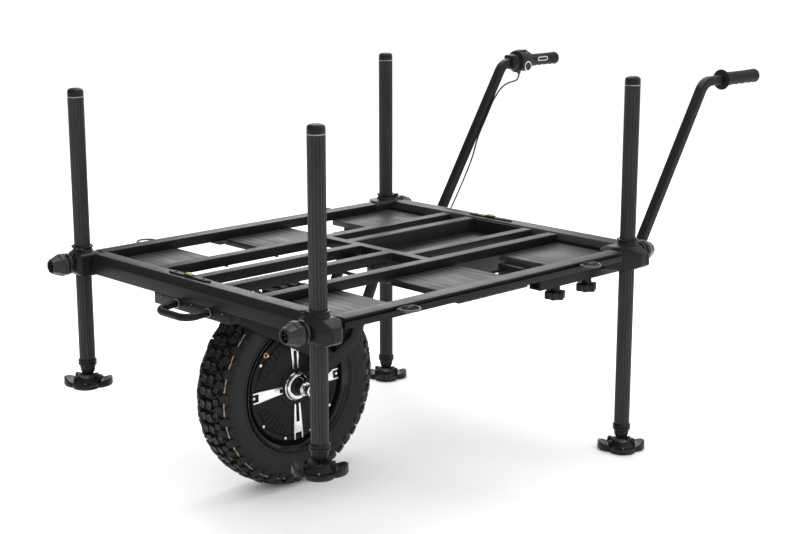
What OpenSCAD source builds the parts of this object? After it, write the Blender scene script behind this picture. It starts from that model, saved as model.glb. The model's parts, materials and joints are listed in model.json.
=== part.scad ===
// Motorised single-wheel platform barrow: a welded aluminium deck on four
// telescopic legs, a hub-motor wheel in a fork under the front bay, and two
// pull-out push handles.
// Origin: middle of the crossbar's top face. +X right, +Y towards the handles, +Z up.

/* [Deck] */
// Width over the two side rails
deck_w = 848; // [760:1:920]
// Front face of the front rail, measured forward of the origin
deck_front = 515; // [470:1:560]
// Rear face of the rear rail, measured behind the origin
deck_rear = 470; // [430:1:540]
// Width of the side rails
rail_w = 36; // [30:1:42]
// Height of the side rails and of the inner bars
rail_h = 22; // [20:1:26]
// Width of the front rail
front_rail_w = 47; // [40:1:54]
// Width of the rear rail
rear_rail_w = 55; // [46:1:60]
// Height of the front and rear rails
cross_rail_h = 42; // [36:1:46]
// Chamfer along the front and rear rails
rail_chamfer = 14; // [6:1:16]
// Depth of the groove along the side rails
groove_depth = 8; // [5:1:10]
// Height of the groove's mouth
groove_h = 7; // [5:1:9]
// Thickness of the rail above the groove
groove_lip = 2; // [1.5:0.5:4]

/* [Inner bars] */
// Middle of the outer bars, from the centre line
outer_bar_x = 176; // [160:1:200]
// Width of the outer bars
outer_bar_w = 28; // [20:1:32]
// Middle of the front pair of bars, from the centre line
front_pair_x = 52; // [42:1:56]
// Middle of the rear pair of bars, from the centre line
rear_pair_x = 98; // [80:1:120]
// Width of the bars in both pairs
pair_bar_w = 27; // [20:1:30]
// Width of the crossbar
cross_bar_w = 24; // [18:1:30]

/* [Deck plates] */
// Thickness of the plates
plate_t = 2; // [1.5:0.5:3]
// Depth of the plates' top face below the deck
plate_drop = 20; // [12:1:20]
// Height of the folded lips on the open edges
plate_lip = 12; // [8:1:16]
// Length of the open gap between two plates
plate_gap = 145; // [110:1:170]
// Front edge of the middle plates, forward of the origin
mid_plate_front = 133; // [120:1:150]
// Rear edge of the middle plates, behind the origin
mid_plate_rear = 67; // [50:1:90]

/* [Legs] */
// Outside radius of the leg tubes
leg_r = 18; // [16:0.5:20]
// Wall of the leg tubes
leg_wall = 2.5; // [2:0.5:4]
// Half of the distance between the left and right legs
leg_half_x = 404; // [390:1:430]
// Half of the distance between the front and rear legs
leg_half_y = 471.5; // [460:0.5:500]
// Sideways offset of the four legs
leg_shift_x = -16; // [-20:1:0]
// Fore-and-aft offset of the four legs
leg_shift_y = -40.5; // [-50:0.5:-30]
// Top of the front tubes above the deck
front_leg_top = 353; // [250:1:420]
// Lower end of the front tubes below the deck
front_leg_low = 251; // [200:1:320]
// Top of the rear tubes above the deck
rear_leg_top = 371; // [250:1:420]
// Lower end of the rear tubes below the deck
rear_leg_low = 431; // [380:1:480]
// Number of flutes along a tube
flute_count = 8; // [4:1:8]
// Width of a flute
flute_w = 3; // [2:0.5:3]

/* [Leg clamps] */
// Half width of a clamp block
clamp_half = 32; // [28:1:34]
// Bottom of the blocks below the deck
clamp_low = 49; // [44:1:60]
// Height of the collars above the deck
collar_h = 17; // [12:1:24]
// Outside radius of the collars
collar_r = 26; // [23:1:28]
// Reach of the front blocks behind the leg
front_clamp_reach = 36; // [32:1:44]
// Reach of the rear blocks in front of the leg
rear_clamp_reach = 64; // [40:1:64]
// Radius of the clamp knobs
knob_r = 27; // [20:1:30]
// Depth of the clamp knobs' axis below the deck
knob_drop = 20; // [18:1:22]
// Distance from a block's face to the knob's end
knob_reach = 52; // [44:1:60]

/* [Feet] */
// Radius of the foot pads
foot_r = 56; // [40:1:60]
// Height from the pad's underside to the tube's lower end
foot_h = 60; // [56:1:70]
// Radius of the ball on the stem
ball_r = 10; // [8:0.5:11]

/* [Wheel] */
// Outside radius of the tyre
tyre_r = 225; // [210:1:228]
// Width of the tyre
tyre_w = 100; // [80:1:104]
// Distance of the axle in front of the origin
wheel_y = 270; // [262:1:280]
// Depth of the axle below the deck
wheel_z = 266; // [258:1:280]
// Radius of the rim's flange
rim_r = 144; // [125:1:150]
// Distance of the rim's edges from the wheel's middle
rim_half = 40; // [36:1:42]
// Radius of the axle
axle_r = 8; // [6:0.5:9]

/* [Fork] */
// Distance of the fork plates' inner faces from the centre line
fork_in = 56; // [54:1:60]
// Thickness of the fork plates
fork_t = 6; // [4:0.5:8]
// Height of the front channel
channel_h = 24; // [22:1:36]
// Radius of the lift loop's bar
loop_r = 8; // [6:0.5:8]
// Width of the lift loop over the bar's middle
loop_w = 108; // [90:1:120]
// Reach of the lift loop in front of the channel
loop_reach = 56; // [45:1:70]

/* [Handles] */
// Distance of the handles from the centre line
handle_x = 330; // [310:1:334]
// Width of the square handle tube
tube_w = 22; // [18:1:24]
// Wall of the handle tube
tube_wall = 2; // [1.5:0.5:3]
// Depth of the lower run below the deck
handle_low = 56; // [56:1:60]
// Height of the grips above the deck
handle_high = 345; // [260:5:380]
// Front end of the lower run, behind the origin
handle_front = 187; // [180:1:220]
// Where the lower run would meet the sloping run
bend_low_y = 533; // [525:1:560]
// Where the sloping run would meet the grip
bend_high_y = 787; // [740:1:820]
// Radius of both bends
bend_r = 45; // [35:1:60]
// Front end of the grips
grip_y = 862; // [845:1:900]
// Rear end of both grips
grip_end = 1004; // [980:1:1040]
// Radius of the grips
grip_r = 17; // [15:0.5:19]
// Radius of the right grip's guard disc
guard_r = 25; // [20:1:30]
// Front end of the left grip, behind the throttle unit
left_grip_y = 892; // [880:1:905]
// Front end of the receivers
receiver_y = 177; // [170:1:184]
// Length of the receivers
receiver_l = 285; // [240:1:293]
// Wall of the receivers
receiver_wall = 5; // [4:0.5:6]
// Radius of the receivers' knobs
screw_knob_r = 25; // [18:1:28]

/* [Hidden] */
$fn = 64;

// Fits: a sliding fit, a turning shaft, and two bodies that only lie close
slide_gap = 0.05;
turn_gap = 0.05;
near_gap = 0.3;

// Deck lines that the pieces share
side_out = deck_w / 2;
side_in = side_out - rail_w;
front_in = -deck_front + front_rail_w;
rear_in = deck_rear - rear_rail_w;
outer_bar_out = outer_bar_x + outer_bar_w / 2;
leg_front_y = -leg_half_y + leg_shift_y;
leg_rear_y = leg_half_y + leg_shift_y;
leg_left_x = -leg_half_x + leg_shift_x;
leg_right_x = leg_half_x + leg_shift_x;
side_front = leg_front_y + front_clamp_reach;
side_rear = leg_rear_y - rear_clamp_reach;
cross_left = leg_left_x + clamp_half;
cross_right = leg_right_x - clamp_half;
plate_low = plate_drop + plate_t;

// Handle line: the angle of the sloping run and the length that a bend takes
slope = atan2(handle_high + handle_low, bend_high_y - bend_low_y);
bend_cut = bend_r * tan(slope / 2);
socket_w = tube_w + 0.4;

// Cable routes
throttle_route = [
    [-330, 852, 311], [-330, 852, 303], [-329, 845, 296], [-328, 836, 293], [-326, 824, 292],
    [-323, 810, 291], [-320, 796, 290], [-317, 782, 287], [-316, 766, 280], [-316, 752, 268],
    [-316, 735, 250], [-316, 722, 230], [-316, 710, 210], [-316, 697, 190], [-316, 684, 170],
    [-315, 672, 150], [-313, 662, 130], [-311, 652, 110], [-310, 641, 90], [-310, 629, 70],
    [-310, 617, 50], [-310, 604, 30], [-310, 591, 10], [-310, 576, -12], [-310, 560, -34],
    [-310, 545, -48], [-310, 528, -55], [-310, 510, -56], [-310, 488, -56]
];
motor_route = [
    [-85, -270, -266], [-93, -270, -266], [-98, -256, -256], [-94, -238, -236], [-86, -218, -212],
    [-80, -200, -188], [-78, -184, -166], [-77, -170, -146], [-76, -156, -126], [-76, -144, -106],
    [-75, -132, -84], [-70, -122, -62], [-56, -115, -46], [-36, -112, -39], [0, -111, -38],
    [36, -111, -38], [66, -108, -39], [90, -98, -42], [112, -82, -46], [134, -58, -48],
    [152, -36, -49], [170, -10, -49], [190, 20, -48], [206, 50, -48], [214, 84, -48],
    [216, 120, -48], [216, 160, -48], [216, 188, -48]
];
throttle_cable_r = 2.2;
motor_cable_r = 4;

// A tube swept along points, with a flat cap at each end
function unit(v) = v / norm(v);
function tangent(p, i) = unit(p[min(i + 1, len(p) - 1)] - p[max(i - 1, 0)]);
function ring(p, i, r, sides) =
    let (t = tangent(p, i), up = abs(t[2]) > 0.9 ? [1, 0, 0] : [0, 0, 1],
         u = unit(cross(up, t)), v = cross(t, u))
    [for (k = [0 : sides - 1]) p[i] + r * (cos(360 * k / sides) * u + sin(360 * k / sides) * v)];
function tube_faces(n, sides) = concat(
    [[for (k = [0 : sides - 1]) k]],
    [for (i = [0 : n - 2], k = [0 : sides - 1])
        let (a = i * sides + k, b = i * sides + (k + 1) % sides)
        [b, a, a + sides, b + sides]],
    [[for (k = [sides - 1 : -1 : 0]) (n - 1) * sides + k]]);
module cord(p, r, sides) {
    polyhedron(points = [for (i = [0 : len(p) - 1]) each ring(p, i, r, sides)],
               faces = tube_faces(len(p), sides));
}

// A box between two corners
module block(lo, hi) {
    translate(lo) cube(hi - lo);
}

// An extrusion along X of an outline given in Y and Z
module along_x(x0, x1) {
    translate([x0, 0, 0]) rotate([90, 0, 90]) linear_extrude(x1 - x0) children();
}

// An extrusion along Y of an outline given in X and Z
module along_y(y0, y1) {
    translate([0, y1, 0]) rotate([90, 0, 0]) linear_extrude(y1 - y0) children();
}

// A square of width w with its corners cut back by c
function cut_square_points(w, c) =
    let (h = w / 2)
    [[-h + c, -h], [h - c, -h], [h, -h + c], [h, h - c], [h - c, h], [-h + c, h], [-h, h - c], [-h, -h + c]];
module cut_square(w, c) {
    polygon(cut_square_points(w, c));
}

// ---- Deck ----

module front_rail() {
    color([0.62, 0.62, 0.64]) along_x(cross_left, cross_right)
        polygon([[-deck_front, -cross_rail_h], [front_in, -cross_rail_h], [front_in, 0],
                 [-deck_front + rail_chamfer, 0], [-deck_front, -rail_chamfer]]);
}

module rear_rail() {
    color([0.62, 0.62, 0.64]) along_x(cross_left, cross_right)
        polygon([[rear_in, -cross_rail_h], [deck_rear, -cross_rail_h], [deck_rear, 0],
                 [rear_in + rail_chamfer, 0], [rear_in, -rail_chamfer]]);
}

// Side rail with its outer groove and the saddles that hold the two lashing rings
module side_rail(side) {
    color([0.62, 0.62, 0.64]) scale([side, 1, 1]) {
        difference() {
            block([side_in, side_front, -rail_h], [side_out, side_rear, 0]);
            block([side_out - groove_depth, side_front - 1, -groove_lip - groove_h],
                  [side_out + 1, side_rear + 1, -groove_lip]);
        }
        for (y = [ring_front_y, ring_rear_y]) difference() {
            block([side_out - groove_depth, y - saddle_w / 2, -groove_lip - groove_h],
                  [ring_x + ring_wire + 1.5, y + saddle_w / 2, -groove_lip]);
            translate([ring_x, y + saddle_w, ring_z])
                rotate([90, 0, 0]) cylinder(r = ring_wire + turn_gap, h = 2 * saddle_w);
        }
    }
}

module bar_y(x, w, y0, y1) {
    block([x - w / 2, y0, -rail_h], [x + w / 2, y1, 0]);
}

// Six lengthwise bars, the crossbar and the bracket that carries the fork's rear struts
module inner_bars() {
    color([0.62, 0.62, 0.64]) {
        for (s = [-1, 1]) {
            bar_y(s * outer_bar_x, outer_bar_w, front_in, rear_in);
            bar_y(s * front_pair_x, pair_bar_w, front_in, -cross_bar_w / 2);
            bar_y(s * rear_pair_x, pair_bar_w, cross_bar_w / 2, rear_in);
        }
        block([-outer_bar_x + outer_bar_w / 2, -cross_bar_w / 2, -rail_h],
              [outer_bar_x - outer_bar_w / 2, cross_bar_w / 2, 0]);
    }
    bracket_x = fork_in + fork_t + bracket_out;
    color([0.25, 0.25, 0.27]) block([-bracket_x, strut_top_y - bracket_half, -rail_h - bracket_t],
                                    [bracket_x, strut_top_y + bracket_half, -rail_h]);
}
bracket_t = 6;
bracket_out = 10;
bracket_half = 24;
strut_top_y = -48;

// A recessed plate whose open edges are folded down
module deck_plate(y0, y1, front_lip, rear_lip) {
    block([outer_bar_out, y0, -plate_low], [side_in, y1, -plate_drop]);
    if (front_lip) block([outer_bar_out, y0, -plate_low - plate_lip], [side_in, y0 + plate_t, -plate_low]);
    if (rear_lip) block([outer_bar_out, y1 - plate_t, -plate_low - plate_lip], [side_in, y1, -plate_low]);
}

// The middle plate also has a foot that runs out under the side rail
foot_front = 165;
foot_rear = 46;
foot_t = 5;
module side_plates(side) {
    inner = side < 0 ? -cross_left : cross_right;
    color([0.72, 0.72, 0.73]) scale([side, 1, 1]) difference() {
        union() {
            deck_plate(front_in, -mid_plate_front - plate_gap, false, true);
            deck_plate(-mid_plate_front, mid_plate_rear, true, true);
            deck_plate(mid_plate_rear + plate_gap, rear_in, true, false);
            block([side_in, -foot_front, -rail_h - foot_t], [side_out, foot_rear, -rail_h]);
            block([side_in - 20, -foot_front, -rail_h - foot_t], [side_in, foot_rear, -plate_low]);
        }
        block([inner, side_rear, -clamp_low], [side_out, deck_rear, 0]);
        block([inner, -deck_front, -clamp_low], [side_out, side_front, 0]);
    }
}

// ---- Battery and controller ----
tray_floor = 34;
tray_t = 2;
pack_h = 58;
pack_side = 6.5;
pack_front = 30;
pack_rear = 40;
module battery_tray() {
    x = rear_pair_x - pair_bar_w / 2;
    y0 = cross_bar_w / 2;
    color([0.2, 0.2, 0.22]) difference() {
        block([-x, y0, -tray_floor - tray_t], [x, rear_in, -1]);
        block([-x + tray_t, y0 + tray_t, -tray_floor], [x - tray_t, rear_in - tray_t, 0]);
    }
}

module battery_pack() {
    x = rear_pair_x - pair_bar_w / 2 - pack_side;
    top = tray_floor + tray_t;
    color([0.1, 0.1, 0.1]) block([-x, cross_bar_w / 2 + pack_front, -top - pack_h],
                                 [x, rear_in - pack_rear, -top]);
}

box_x = [205, 280];
box_y = [190, 250];
box_h = 40;
box_ear = 8;
module controller_box() {
    color([0.1, 0.1, 0.1]) block([box_x[0], box_y[0], -plate_low - plate_lip - box_h],
                                 [box_x[1], box_y[1], -plate_low - plate_lip]);
    ear_front = mid_plate_rear + plate_gap + plate_t;
    color([0.1, 0.1, 0.1]) block([box_x[0] + box_ear, ear_front, -plate_low - plate_lip],
                                 [box_x[1] - box_ear, box_y[1], -plate_low]);
}

// ---- Spirit levels ----
level_x = -58;
level_l = 143;
vial_l = 20;
vial_r = 4;
module level_bar(y) {
    translate([level_x, y, 0]) difference() {
        intersection() {
            block([-level_l / 2, -7, 0], [level_l / 2, 7, 6]);
            translate([-level_l / 2, 0, -8]) rotate([0, 90, 0]) cylinder(r = 15, h = level_l);
        }
        block([-vial_l / 2 - near_gap, -vial_r - near_gap, 1],
              [vial_l / 2 + near_gap, vial_r + near_gap, 10]);
    }
}
level_front_y = front_in - 14;
level_rear_y = rear_in + rail_chamfer + 20;
module level_brackets() {
    color([0.7, 0.7, 0.7]) for (y = [level_front_y, level_rear_y]) level_bar(y);
}

module level_vials() {
    color([0.8, 0.85, 0.2]) for (y = [level_front_y, level_rear_y])
        translate([level_x - vial_l / 2, y, 1 + vial_r]) rotate([0, 90, 0]) cylinder(r = vial_r, h = vial_l);
}

// ---- Leg clamps ----
block_shoulder = 12;
block_taper = 8;
screw_r = 5;
screw_in = 11;
boss_out = 20;
boss_half_y = 24;
bolt_cap_r = 9;
ear_half = 9;
ear_out = 9;
slit_w = 2.4;

// Outline of the block in one direction, from -a to b, with sloping shoulders
module block_outline(a, b) {
    polygon([[-a, -clamp_low], [b, -clamp_low], [b, -block_shoulder], [b - block_taper, 5],
             [-a + block_taper, 5], [-a, -block_shoulder]]);
}

// A clamp at the origin of its leg. front is -1 on the front clamps and 1 on the rear
// ones, and side is the outer side
module clamp(front, side) {
    reach = front < 0 ? front_clamp_reach : rear_clamp_reach;
    color([0.34, 0.34, 0.36]) difference() {
        union() {
            scale([1, front, 1]) intersection() {
                along_y(-reach, clamp_half) block_outline(clamp_half, clamp_half);
                along_x(-clamp_half, clamp_half) block_outline(reach, clamp_half);
            }
            translate([0, 0, -1]) cylinder(r = collar_r, h = collar_h + 1);
            scale([side, 1, 1]) block([clamp_half - 1, -boss_half_y, -clamp_low + 6],
                                        [clamp_half + boss_out, boss_half_y, -6]);
            scale([side, 1, 1]) translate([clamp_half + boss_out - 1, 0, -knob_drop - 6])
                rotate([0, 90, 0]) cylinder(r = bolt_cap_r, h = 4);
            block([collar_r - 4, -ear_half, 6], [collar_r + ear_out, ear_half, collar_h - 1]);
        }
        translate([0, 0, -clamp_low - 1]) cylinder(r = leg_r + slide_gap, h = clamp_low + collar_h + 2);
        block([leg_r - 2, -slit_w / 2, 5.5], [collar_r + 2 * ear_out, slit_w / 2, collar_h + 1]);
        scale([1, front, 1]) translate([0, clamp_half + 1, -knob_drop])
            rotate([90, 0, 0]) cylinder(r = screw_r + turn_gap, h = screw_in + 2);
    }
}

module clamp_knob(front) {
    y0 = clamp_half + near_gap;
    color([0.3, 0.3, 0.32]) scale([1, front, 1]) translate([0, 0, -knob_drop]) rotate([-90, 0, 0]) {
        translate([0, 0, clamp_half - screw_in]) cylinder(r = screw_r, h = screw_in + 2);
        difference() {
            union() {
                translate([0, 0, y0]) cylinder(r = knob_r * 0.6, h = 12);
                translate([0, 0, y0 + 12]) cylinder(r = knob_r, h = knob_reach - 12, $fn = 12);
            }
            translate([0, 0, y0 + knob_reach - 14]) cylinder(r = knob_r - 8, h = 20);
        }
    }
}

module at_leg(front, side) {
    translate([side < 0 ? leg_left_x : leg_right_x, front < 0 ? leg_front_y : leg_rear_y, 0]) children();
}
module clamp_front_left() { at_leg(-1, -1) clamp(-1, -1); }
module clamp_front_right() { at_leg(-1, 1) clamp(-1, 1); }
module clamp_rear_left() { at_leg(1, -1) clamp(1, -1); }
module clamp_rear_right() { at_leg(1, 1) clamp(1, 1); }
module clamp_knob_front_left() { at_leg(-1, -1) clamp_knob(-1); }
module clamp_knob_front_right() { at_leg(-1, 1) clamp_knob(-1); }
module clamp_knob_rear_left() { at_leg(1, -1) clamp_knob(1); }
module clamp_knob_rear_right() { at_leg(1, 1) clamp_knob(1); }

// ---- Legs ----
cap_h = 18;
cap_plug = 14;
stem_r = 8;
flange_h = 12;
module leg(low, top) {
    color([0.4, 0.4, 0.42]) difference() {
        translate([0, 0, -low]) cylinder(r = leg_r, h = low + top);
        translate([0, 0, -low - 1]) cylinder(r = leg_r - leg_wall, h = low + top + 2);
        for (k = [0 : flute_count - 1]) rotate([0, 0, 360 * (k + 0.5) / flute_count])
            translate([leg_r - 1, -flute_w / 2, -low - 1]) cube([3, flute_w, low + top + 2]);
    }
}

// The cap in the tube's top, and the foot's collar, stem and ball in its lower end
module leg_ends(low, top) {
    bore = leg_r - leg_wall - slide_gap;
    color([0.08, 0.08, 0.08]) translate([0, 0, top]) {
        translate([0, 0, -cap_plug]) cylinder(r = bore, h = cap_plug);
        rotate_extrude() polygon([[0, 0], [leg_r, 0], [leg_r, cap_h - 6], [leg_r - 6, cap_h], [0, cap_h]]);
    }
    color([0.2, 0.2, 0.22]) translate([0, 0, -low]) {
        cylinder(r = bore, h = cap_plug);
        translate([0, 0, -flange_h]) cylinder(r = leg_r + 3, h = flange_h);
        translate([0, 0, -foot_h + ball_z]) cylinder(r = stem_r - 2, h = foot_h - ball_z - flange_h);
        translate([0, 0, -foot_h + ball_z]) sphere(r = ball_r);
    }
}
ball_z = 24;
notch_out = 12;
notch_r = 24;

// Swivelling pad with its socket
module foot() {
    color([0.12, 0.12, 0.13]) difference() {
        union() {
            cylinder(r = foot_r, h = 8);
            translate([0, 0, 7]) cylinder(r = foot_r * 0.62, h = 5);
            cylinder(r = ball_r + 8, h = ball_z + 2);
        }
        translate([0, 0, ball_z]) sphere(r = ball_r + near_gap);
        translate([0, 0, ball_z]) cylinder(r1 = ball_r - 1, r2 = ball_r + 9, h = 12);
        for (k = [0 : 3]) rotate([0, 0, 90 * k + 45])
            translate([foot_r + notch_out, 0, -1]) cylinder(r = notch_r, h = 20);
    }
}

module leg_front_left() { at_leg(-1, -1) leg(front_leg_low, front_leg_top); }
module leg_front_right() { at_leg(-1, 1) leg(front_leg_low, front_leg_top); }
module leg_rear_left() { at_leg(1, -1) leg(rear_leg_low, rear_leg_top); }
module leg_rear_right() { at_leg(1, 1) leg(rear_leg_low, rear_leg_top); }
module leg_ends_front_left() { at_leg(-1, -1) leg_ends(front_leg_low, front_leg_top); }
module leg_ends_front_right() { at_leg(-1, 1) leg_ends(front_leg_low, front_leg_top); }
module leg_ends_rear_left() { at_leg(1, -1) leg_ends(rear_leg_low, rear_leg_top); }
module leg_ends_rear_right() { at_leg(1, 1) leg_ends(rear_leg_low, rear_leg_top); }
module foot_front_left() { at_leg(-1, -1) translate([0, 0, -front_leg_low - foot_h]) foot(); }
module foot_front_right() { at_leg(-1, 1) translate([0, 0, -front_leg_low - foot_h]) foot(); }
module foot_rear_left() { at_leg(1, -1) translate([0, 0, -rear_leg_low - foot_h]) foot(); }
module foot_rear_right() { at_leg(1, 1) translate([0, 0, -rear_leg_low - foot_h]) foot(); }

// ---- Wheel ----
rim_wall = 4;
motor_r = 112;
motor_half = 28;
disc_half = 20;
boss_r = 29;
spoke_w = 26;
spoke_t = 5;
boss_half = 38;
seat_gap = 0.1;
module on_axle() {
    translate([0, -wheel_y, -wheel_z]) rotate([0, 90, 0]) children();
}

module tyre() {
    h = tyre_w / 2;
    b = rim_half - 6;
    crown = tyre_r - 18;
    color([0.08, 0.08, 0.08]) on_axle() rotate_extrude($fn = 96)
        polygon([[rim_r - 12, -b], [rim_r + 6, -b - 4], [rim_r + 20, -h + 2], [tyre_r - 36, -h],
                 [tyre_r - 18, -h * 0.88], [tyre_r - 7, -h * 0.64], [tyre_r - 2, -h * 0.3], [tyre_r, 0],
                 [tyre_r - 2, h * 0.3], [tyre_r - 7, h * 0.64], [tyre_r - 18, h * 0.88],
                 [tyre_r - 36, h], [rim_r + 20, h - 2], [rim_r + 6, b + 4], [rim_r - 12, b],
                 [rim_r - 12, b - 12], [crown - 10, h * 0.55], [crown, 0], [crown - 10, -h * 0.55],
                 [rim_r - 12, -b + 12]]);
}

// Rim barrel with a flange on both edges
rim_seat = 12;
module rim() {
    r = rim_r - rim_seat - seat_gap;
    b = rim_half - 6;
    color([0.1, 0.1, 0.11]) on_axle() rotate_extrude($fn = 96) {
        polygon([[r - rim_wall, -b], [r, -b], [r, b], [r - rim_wall, b]]);
        for (s = [-1, 1]) scale([1, s])
            polygon([[r - rim_wall, b - 0.01], [r, b - 0.01], [r, b + seat_gap], [rim_r, b + 4.6],
                     [rim_r, rim_half + 3], [r - rim_wall, rim_half]]);
    }
}

// Motor case: a disc that fills the rim, a cover on both faces and the boss, bored for the axle
module hub_motor() {
    color([0.1, 0.1, 0.11]) on_axle() difference() {
        union() {
            translate([0, 0, -disc_half])
                cylinder(r = rim_r - rim_seat - rim_wall - 2 * seat_gap, h = 2 * disc_half, $fn = 96);
            translate([0, 0, -motor_half]) cylinder(r = motor_r, h = 2 * motor_half);
            translate([0, 0, -boss_half]) cylinder(r = boss_r, h = 2 * boss_half);
        }
        translate([0, 0, -boss_half - 1]) cylinder(r = axle_r + turn_gap, h = 2 * boss_half + 2);
    }
}

// Polished four-armed spiders on both faces of the wheel
module hub_spokes() {
    color([0.75, 0.76, 0.78])
    on_axle() for (s = [-1, 1]) scale([1, 1, s]) translate([0, 0, motor_half]) difference() {
        union() {
            for (k = [0 : 3]) rotate([0, 0, 90 * k])
                translate([0, -spoke_w / 2, 0]) cube([motor_r + 10, spoke_w, spoke_t]);
            cylinder(r = boss_r + 8, h = spoke_t);
        }
        translate([0, 0, -1]) cylinder(r = boss_r + seat_gap, h = spoke_t + 2);
    }
}

axle_half = 85;
nut_r = 11;
nut_h = 12;
washer_r = 15;
module axle() {
    color([0.6, 0.6, 0.62]) on_axle() translate([0, 0, -axle_half]) cylinder(r = axle_r, h = 2 * axle_half);
}

module axle_nuts() {
    color([0.65, 0.65, 0.67]) on_axle() for (s = [-1, 1]) scale([1, 1, s])
        translate([0, 0, fork_in + fork_t]) difference() {
            union() {
                cylinder(r = washer_r, h = 2);
                translate([0, 0, 1.9]) cylinder(r = nut_r + 2, h = nut_h, $fn = 6);
            }
            translate([0, 0, -1]) cylinder(r = axle_r + turn_gap, h = nut_h + 4);
        }
}

// ---- Fork ----
// Side plate in Y and Z: front strut, rear strut and the dropout round the axle
channel_back = -deck_front + 24;
arm_w = 30;
arm_rise = 29;
knee_y = -124;
strut_foot = 22;
joint_run = 78;
module fork_outline() {
    ay = -wheel_y;
    az = -wheel_z;
    knee_z = az + (knee_y - ay) * tan(arm_rise);
    joint_y = ay + joint_run;
    joint_z = az + joint_run * tan(arm_rise);
    arm_top = strut_top_y + arm_w / 2;
    difference() {
        union() {
            hull() {
                translate([ay, az]) circle(r = arm_w / 2 + 1);
                translate([knee_y, knee_z]) circle(r = arm_w / 2);
            }
            hull() {
                translate([knee_y, knee_z]) circle(r = arm_w / 2);
                polygon([[arm_top - arm_w, -rail_h - bracket_t], [arm_top, -rail_h - bracket_t],
                         [arm_top, -rail_h - bracket_t - 2]]);
            }
            polygon([[channel_back + 1, -cross_rail_h], [channel_back + 1, -cross_rail_h - strut_foot],
                     [joint_y, joint_z - 6], [joint_y + 14, joint_z + 18],
                     [channel_back + strut_foot, -cross_rail_h]]);
        }
        translate([ay, az]) circle(r = axle_r + turn_gap);
    }
}

module fork_plates() {
    color([0.16, 0.16, 0.17]) for (s = [-1, 1]) scale([s, 1, 1])
        along_x(fork_in, fork_in + fork_t) fork_outline();
}

channel_x = [-142, 120];
channel_t = 4;
channel_low = cross_rail_h + channel_h;
module front_channel() {
    color([0.3, 0.3, 0.32]) difference() {
        block([channel_x[0], -deck_front, -channel_low], [channel_x[1], channel_back, -cross_rail_h]);
        block([channel_x[0] - 1, -deck_front + channel_t, -channel_low + channel_t],
              [channel_x[1] - channel_t, channel_back + 1, -cross_rail_h - channel_t]);
    }
}

loop_x = -6;
loop_bend = 28;
loop_tilt = 4;
loop_drop = 52;
module lift_loop() {
    h = loop_w / 2;
    straight = loop_reach - loop_bend;
    color([0.3, 0.3, 0.32]) translate([loop_x, -deck_front, -loop_drop]) difference() {
        rotate([loop_tilt, 0, 0]) {
            for (s = [-1, 1]) scale([s, 1, 1]) {
                translate([h, 4, 0]) rotate([90, 0, 0]) cylinder(r = loop_r, h = straight + 4, $fn = 32);
                translate([h - loop_bend, -straight, 0]) rotate([0, 0, -90])
                    rotate_extrude(angle = 90, $fn = 32) translate([loop_bend, 0]) circle(loop_r, $fn = 32);
            }
            translate([-h + loop_bend, -loop_reach, 0]) rotate([0, 90, 0])
                cylinder(r = loop_r, h = loop_w - 2 * loop_bend, $fn = 32);
        }
        block([-loop_w, 0, -20], [loop_w, 20, 20]);
    }
}

// ---- Handles ----
corner_cut = 2.4;
bend_steps = 8;

// Places along a handle in the YZ plane, each with its direction: [y, z, angle]
function bend_at(y, z, start, turn) =
    [for (k = [0 : bend_steps])
        let (a = start + turn * k / bend_steps, d = sign(turn))
        [y + d * bend_r * (sin(a) - sin(start)), z - d * bend_r * (cos(a) - cos(start)), a]];
function handle_line(y0, y1) = concat(
    [[y0, -handle_low, 0]],
    bend_at(bend_low_y - bend_cut, -handle_low, 0, slope),
    bend_at(bend_high_y - bend_cut * cos(slope), handle_high - bend_cut * sin(slope), slope, -slope),
    [[y1, handle_high, 0]]);

// A square tube of width w swept along such a line
module swept_tube(line, w, c) {
    outline = cut_square_points(w, c);
    polyhedron(points = [for (p = line, q = outline)
                             [-q[0], p[0] - q[1] * sin(p[2]), p[1] + q[1] * cos(p[2])]],
               faces = tube_faces(len(line), len(outline)));
}

spigot_r = grip_r - 5;
spigot_short = 12;
function grip_start(side) = side < 0 ? left_grip_y : grip_y;
module handle(side) {
    tube_end = grip_start(side) - (side < 0 ? 0 : guard_t);
    color([0.12, 0.12, 0.13]) translate([side * handle_x, 0, 0]) {
        difference() {
            swept_tube(handle_line(handle_front, tube_end), tube_w, corner_cut);
            swept_tube(handle_line(handle_front - 1, tube_end + 1), tube_w - 2 * tube_wall, corner_cut / 2);
        }
        translate([0, tube_end, handle_high]) rotate([-90, 0, 0])
            cylinder(r = spigot_r, h = grip_end - spigot_short - tube_end);
    }
}

guard_t = 4;
module grip(side) {
    y0 = grip_start(side);
    color([0.07, 0.07, 0.07]) translate([side * handle_x, 0, handle_high]) rotate([-90, 0, 0]) difference() {
        union() {
            if (side > 0) translate([0, 0, y0 - guard_t]) cylinder(r = guard_r, h = guard_t + 1);
            translate([0, 0, y0]) cylinder(r = grip_r, h = grip_end - y0);
        }
        translate([0, 0, y0 - guard_t - 1])
            cylinder(r = spigot_r + slide_gap, h = grip_end - spigot_short + near_gap - y0 + guard_t + 1);
    }
}

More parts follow.
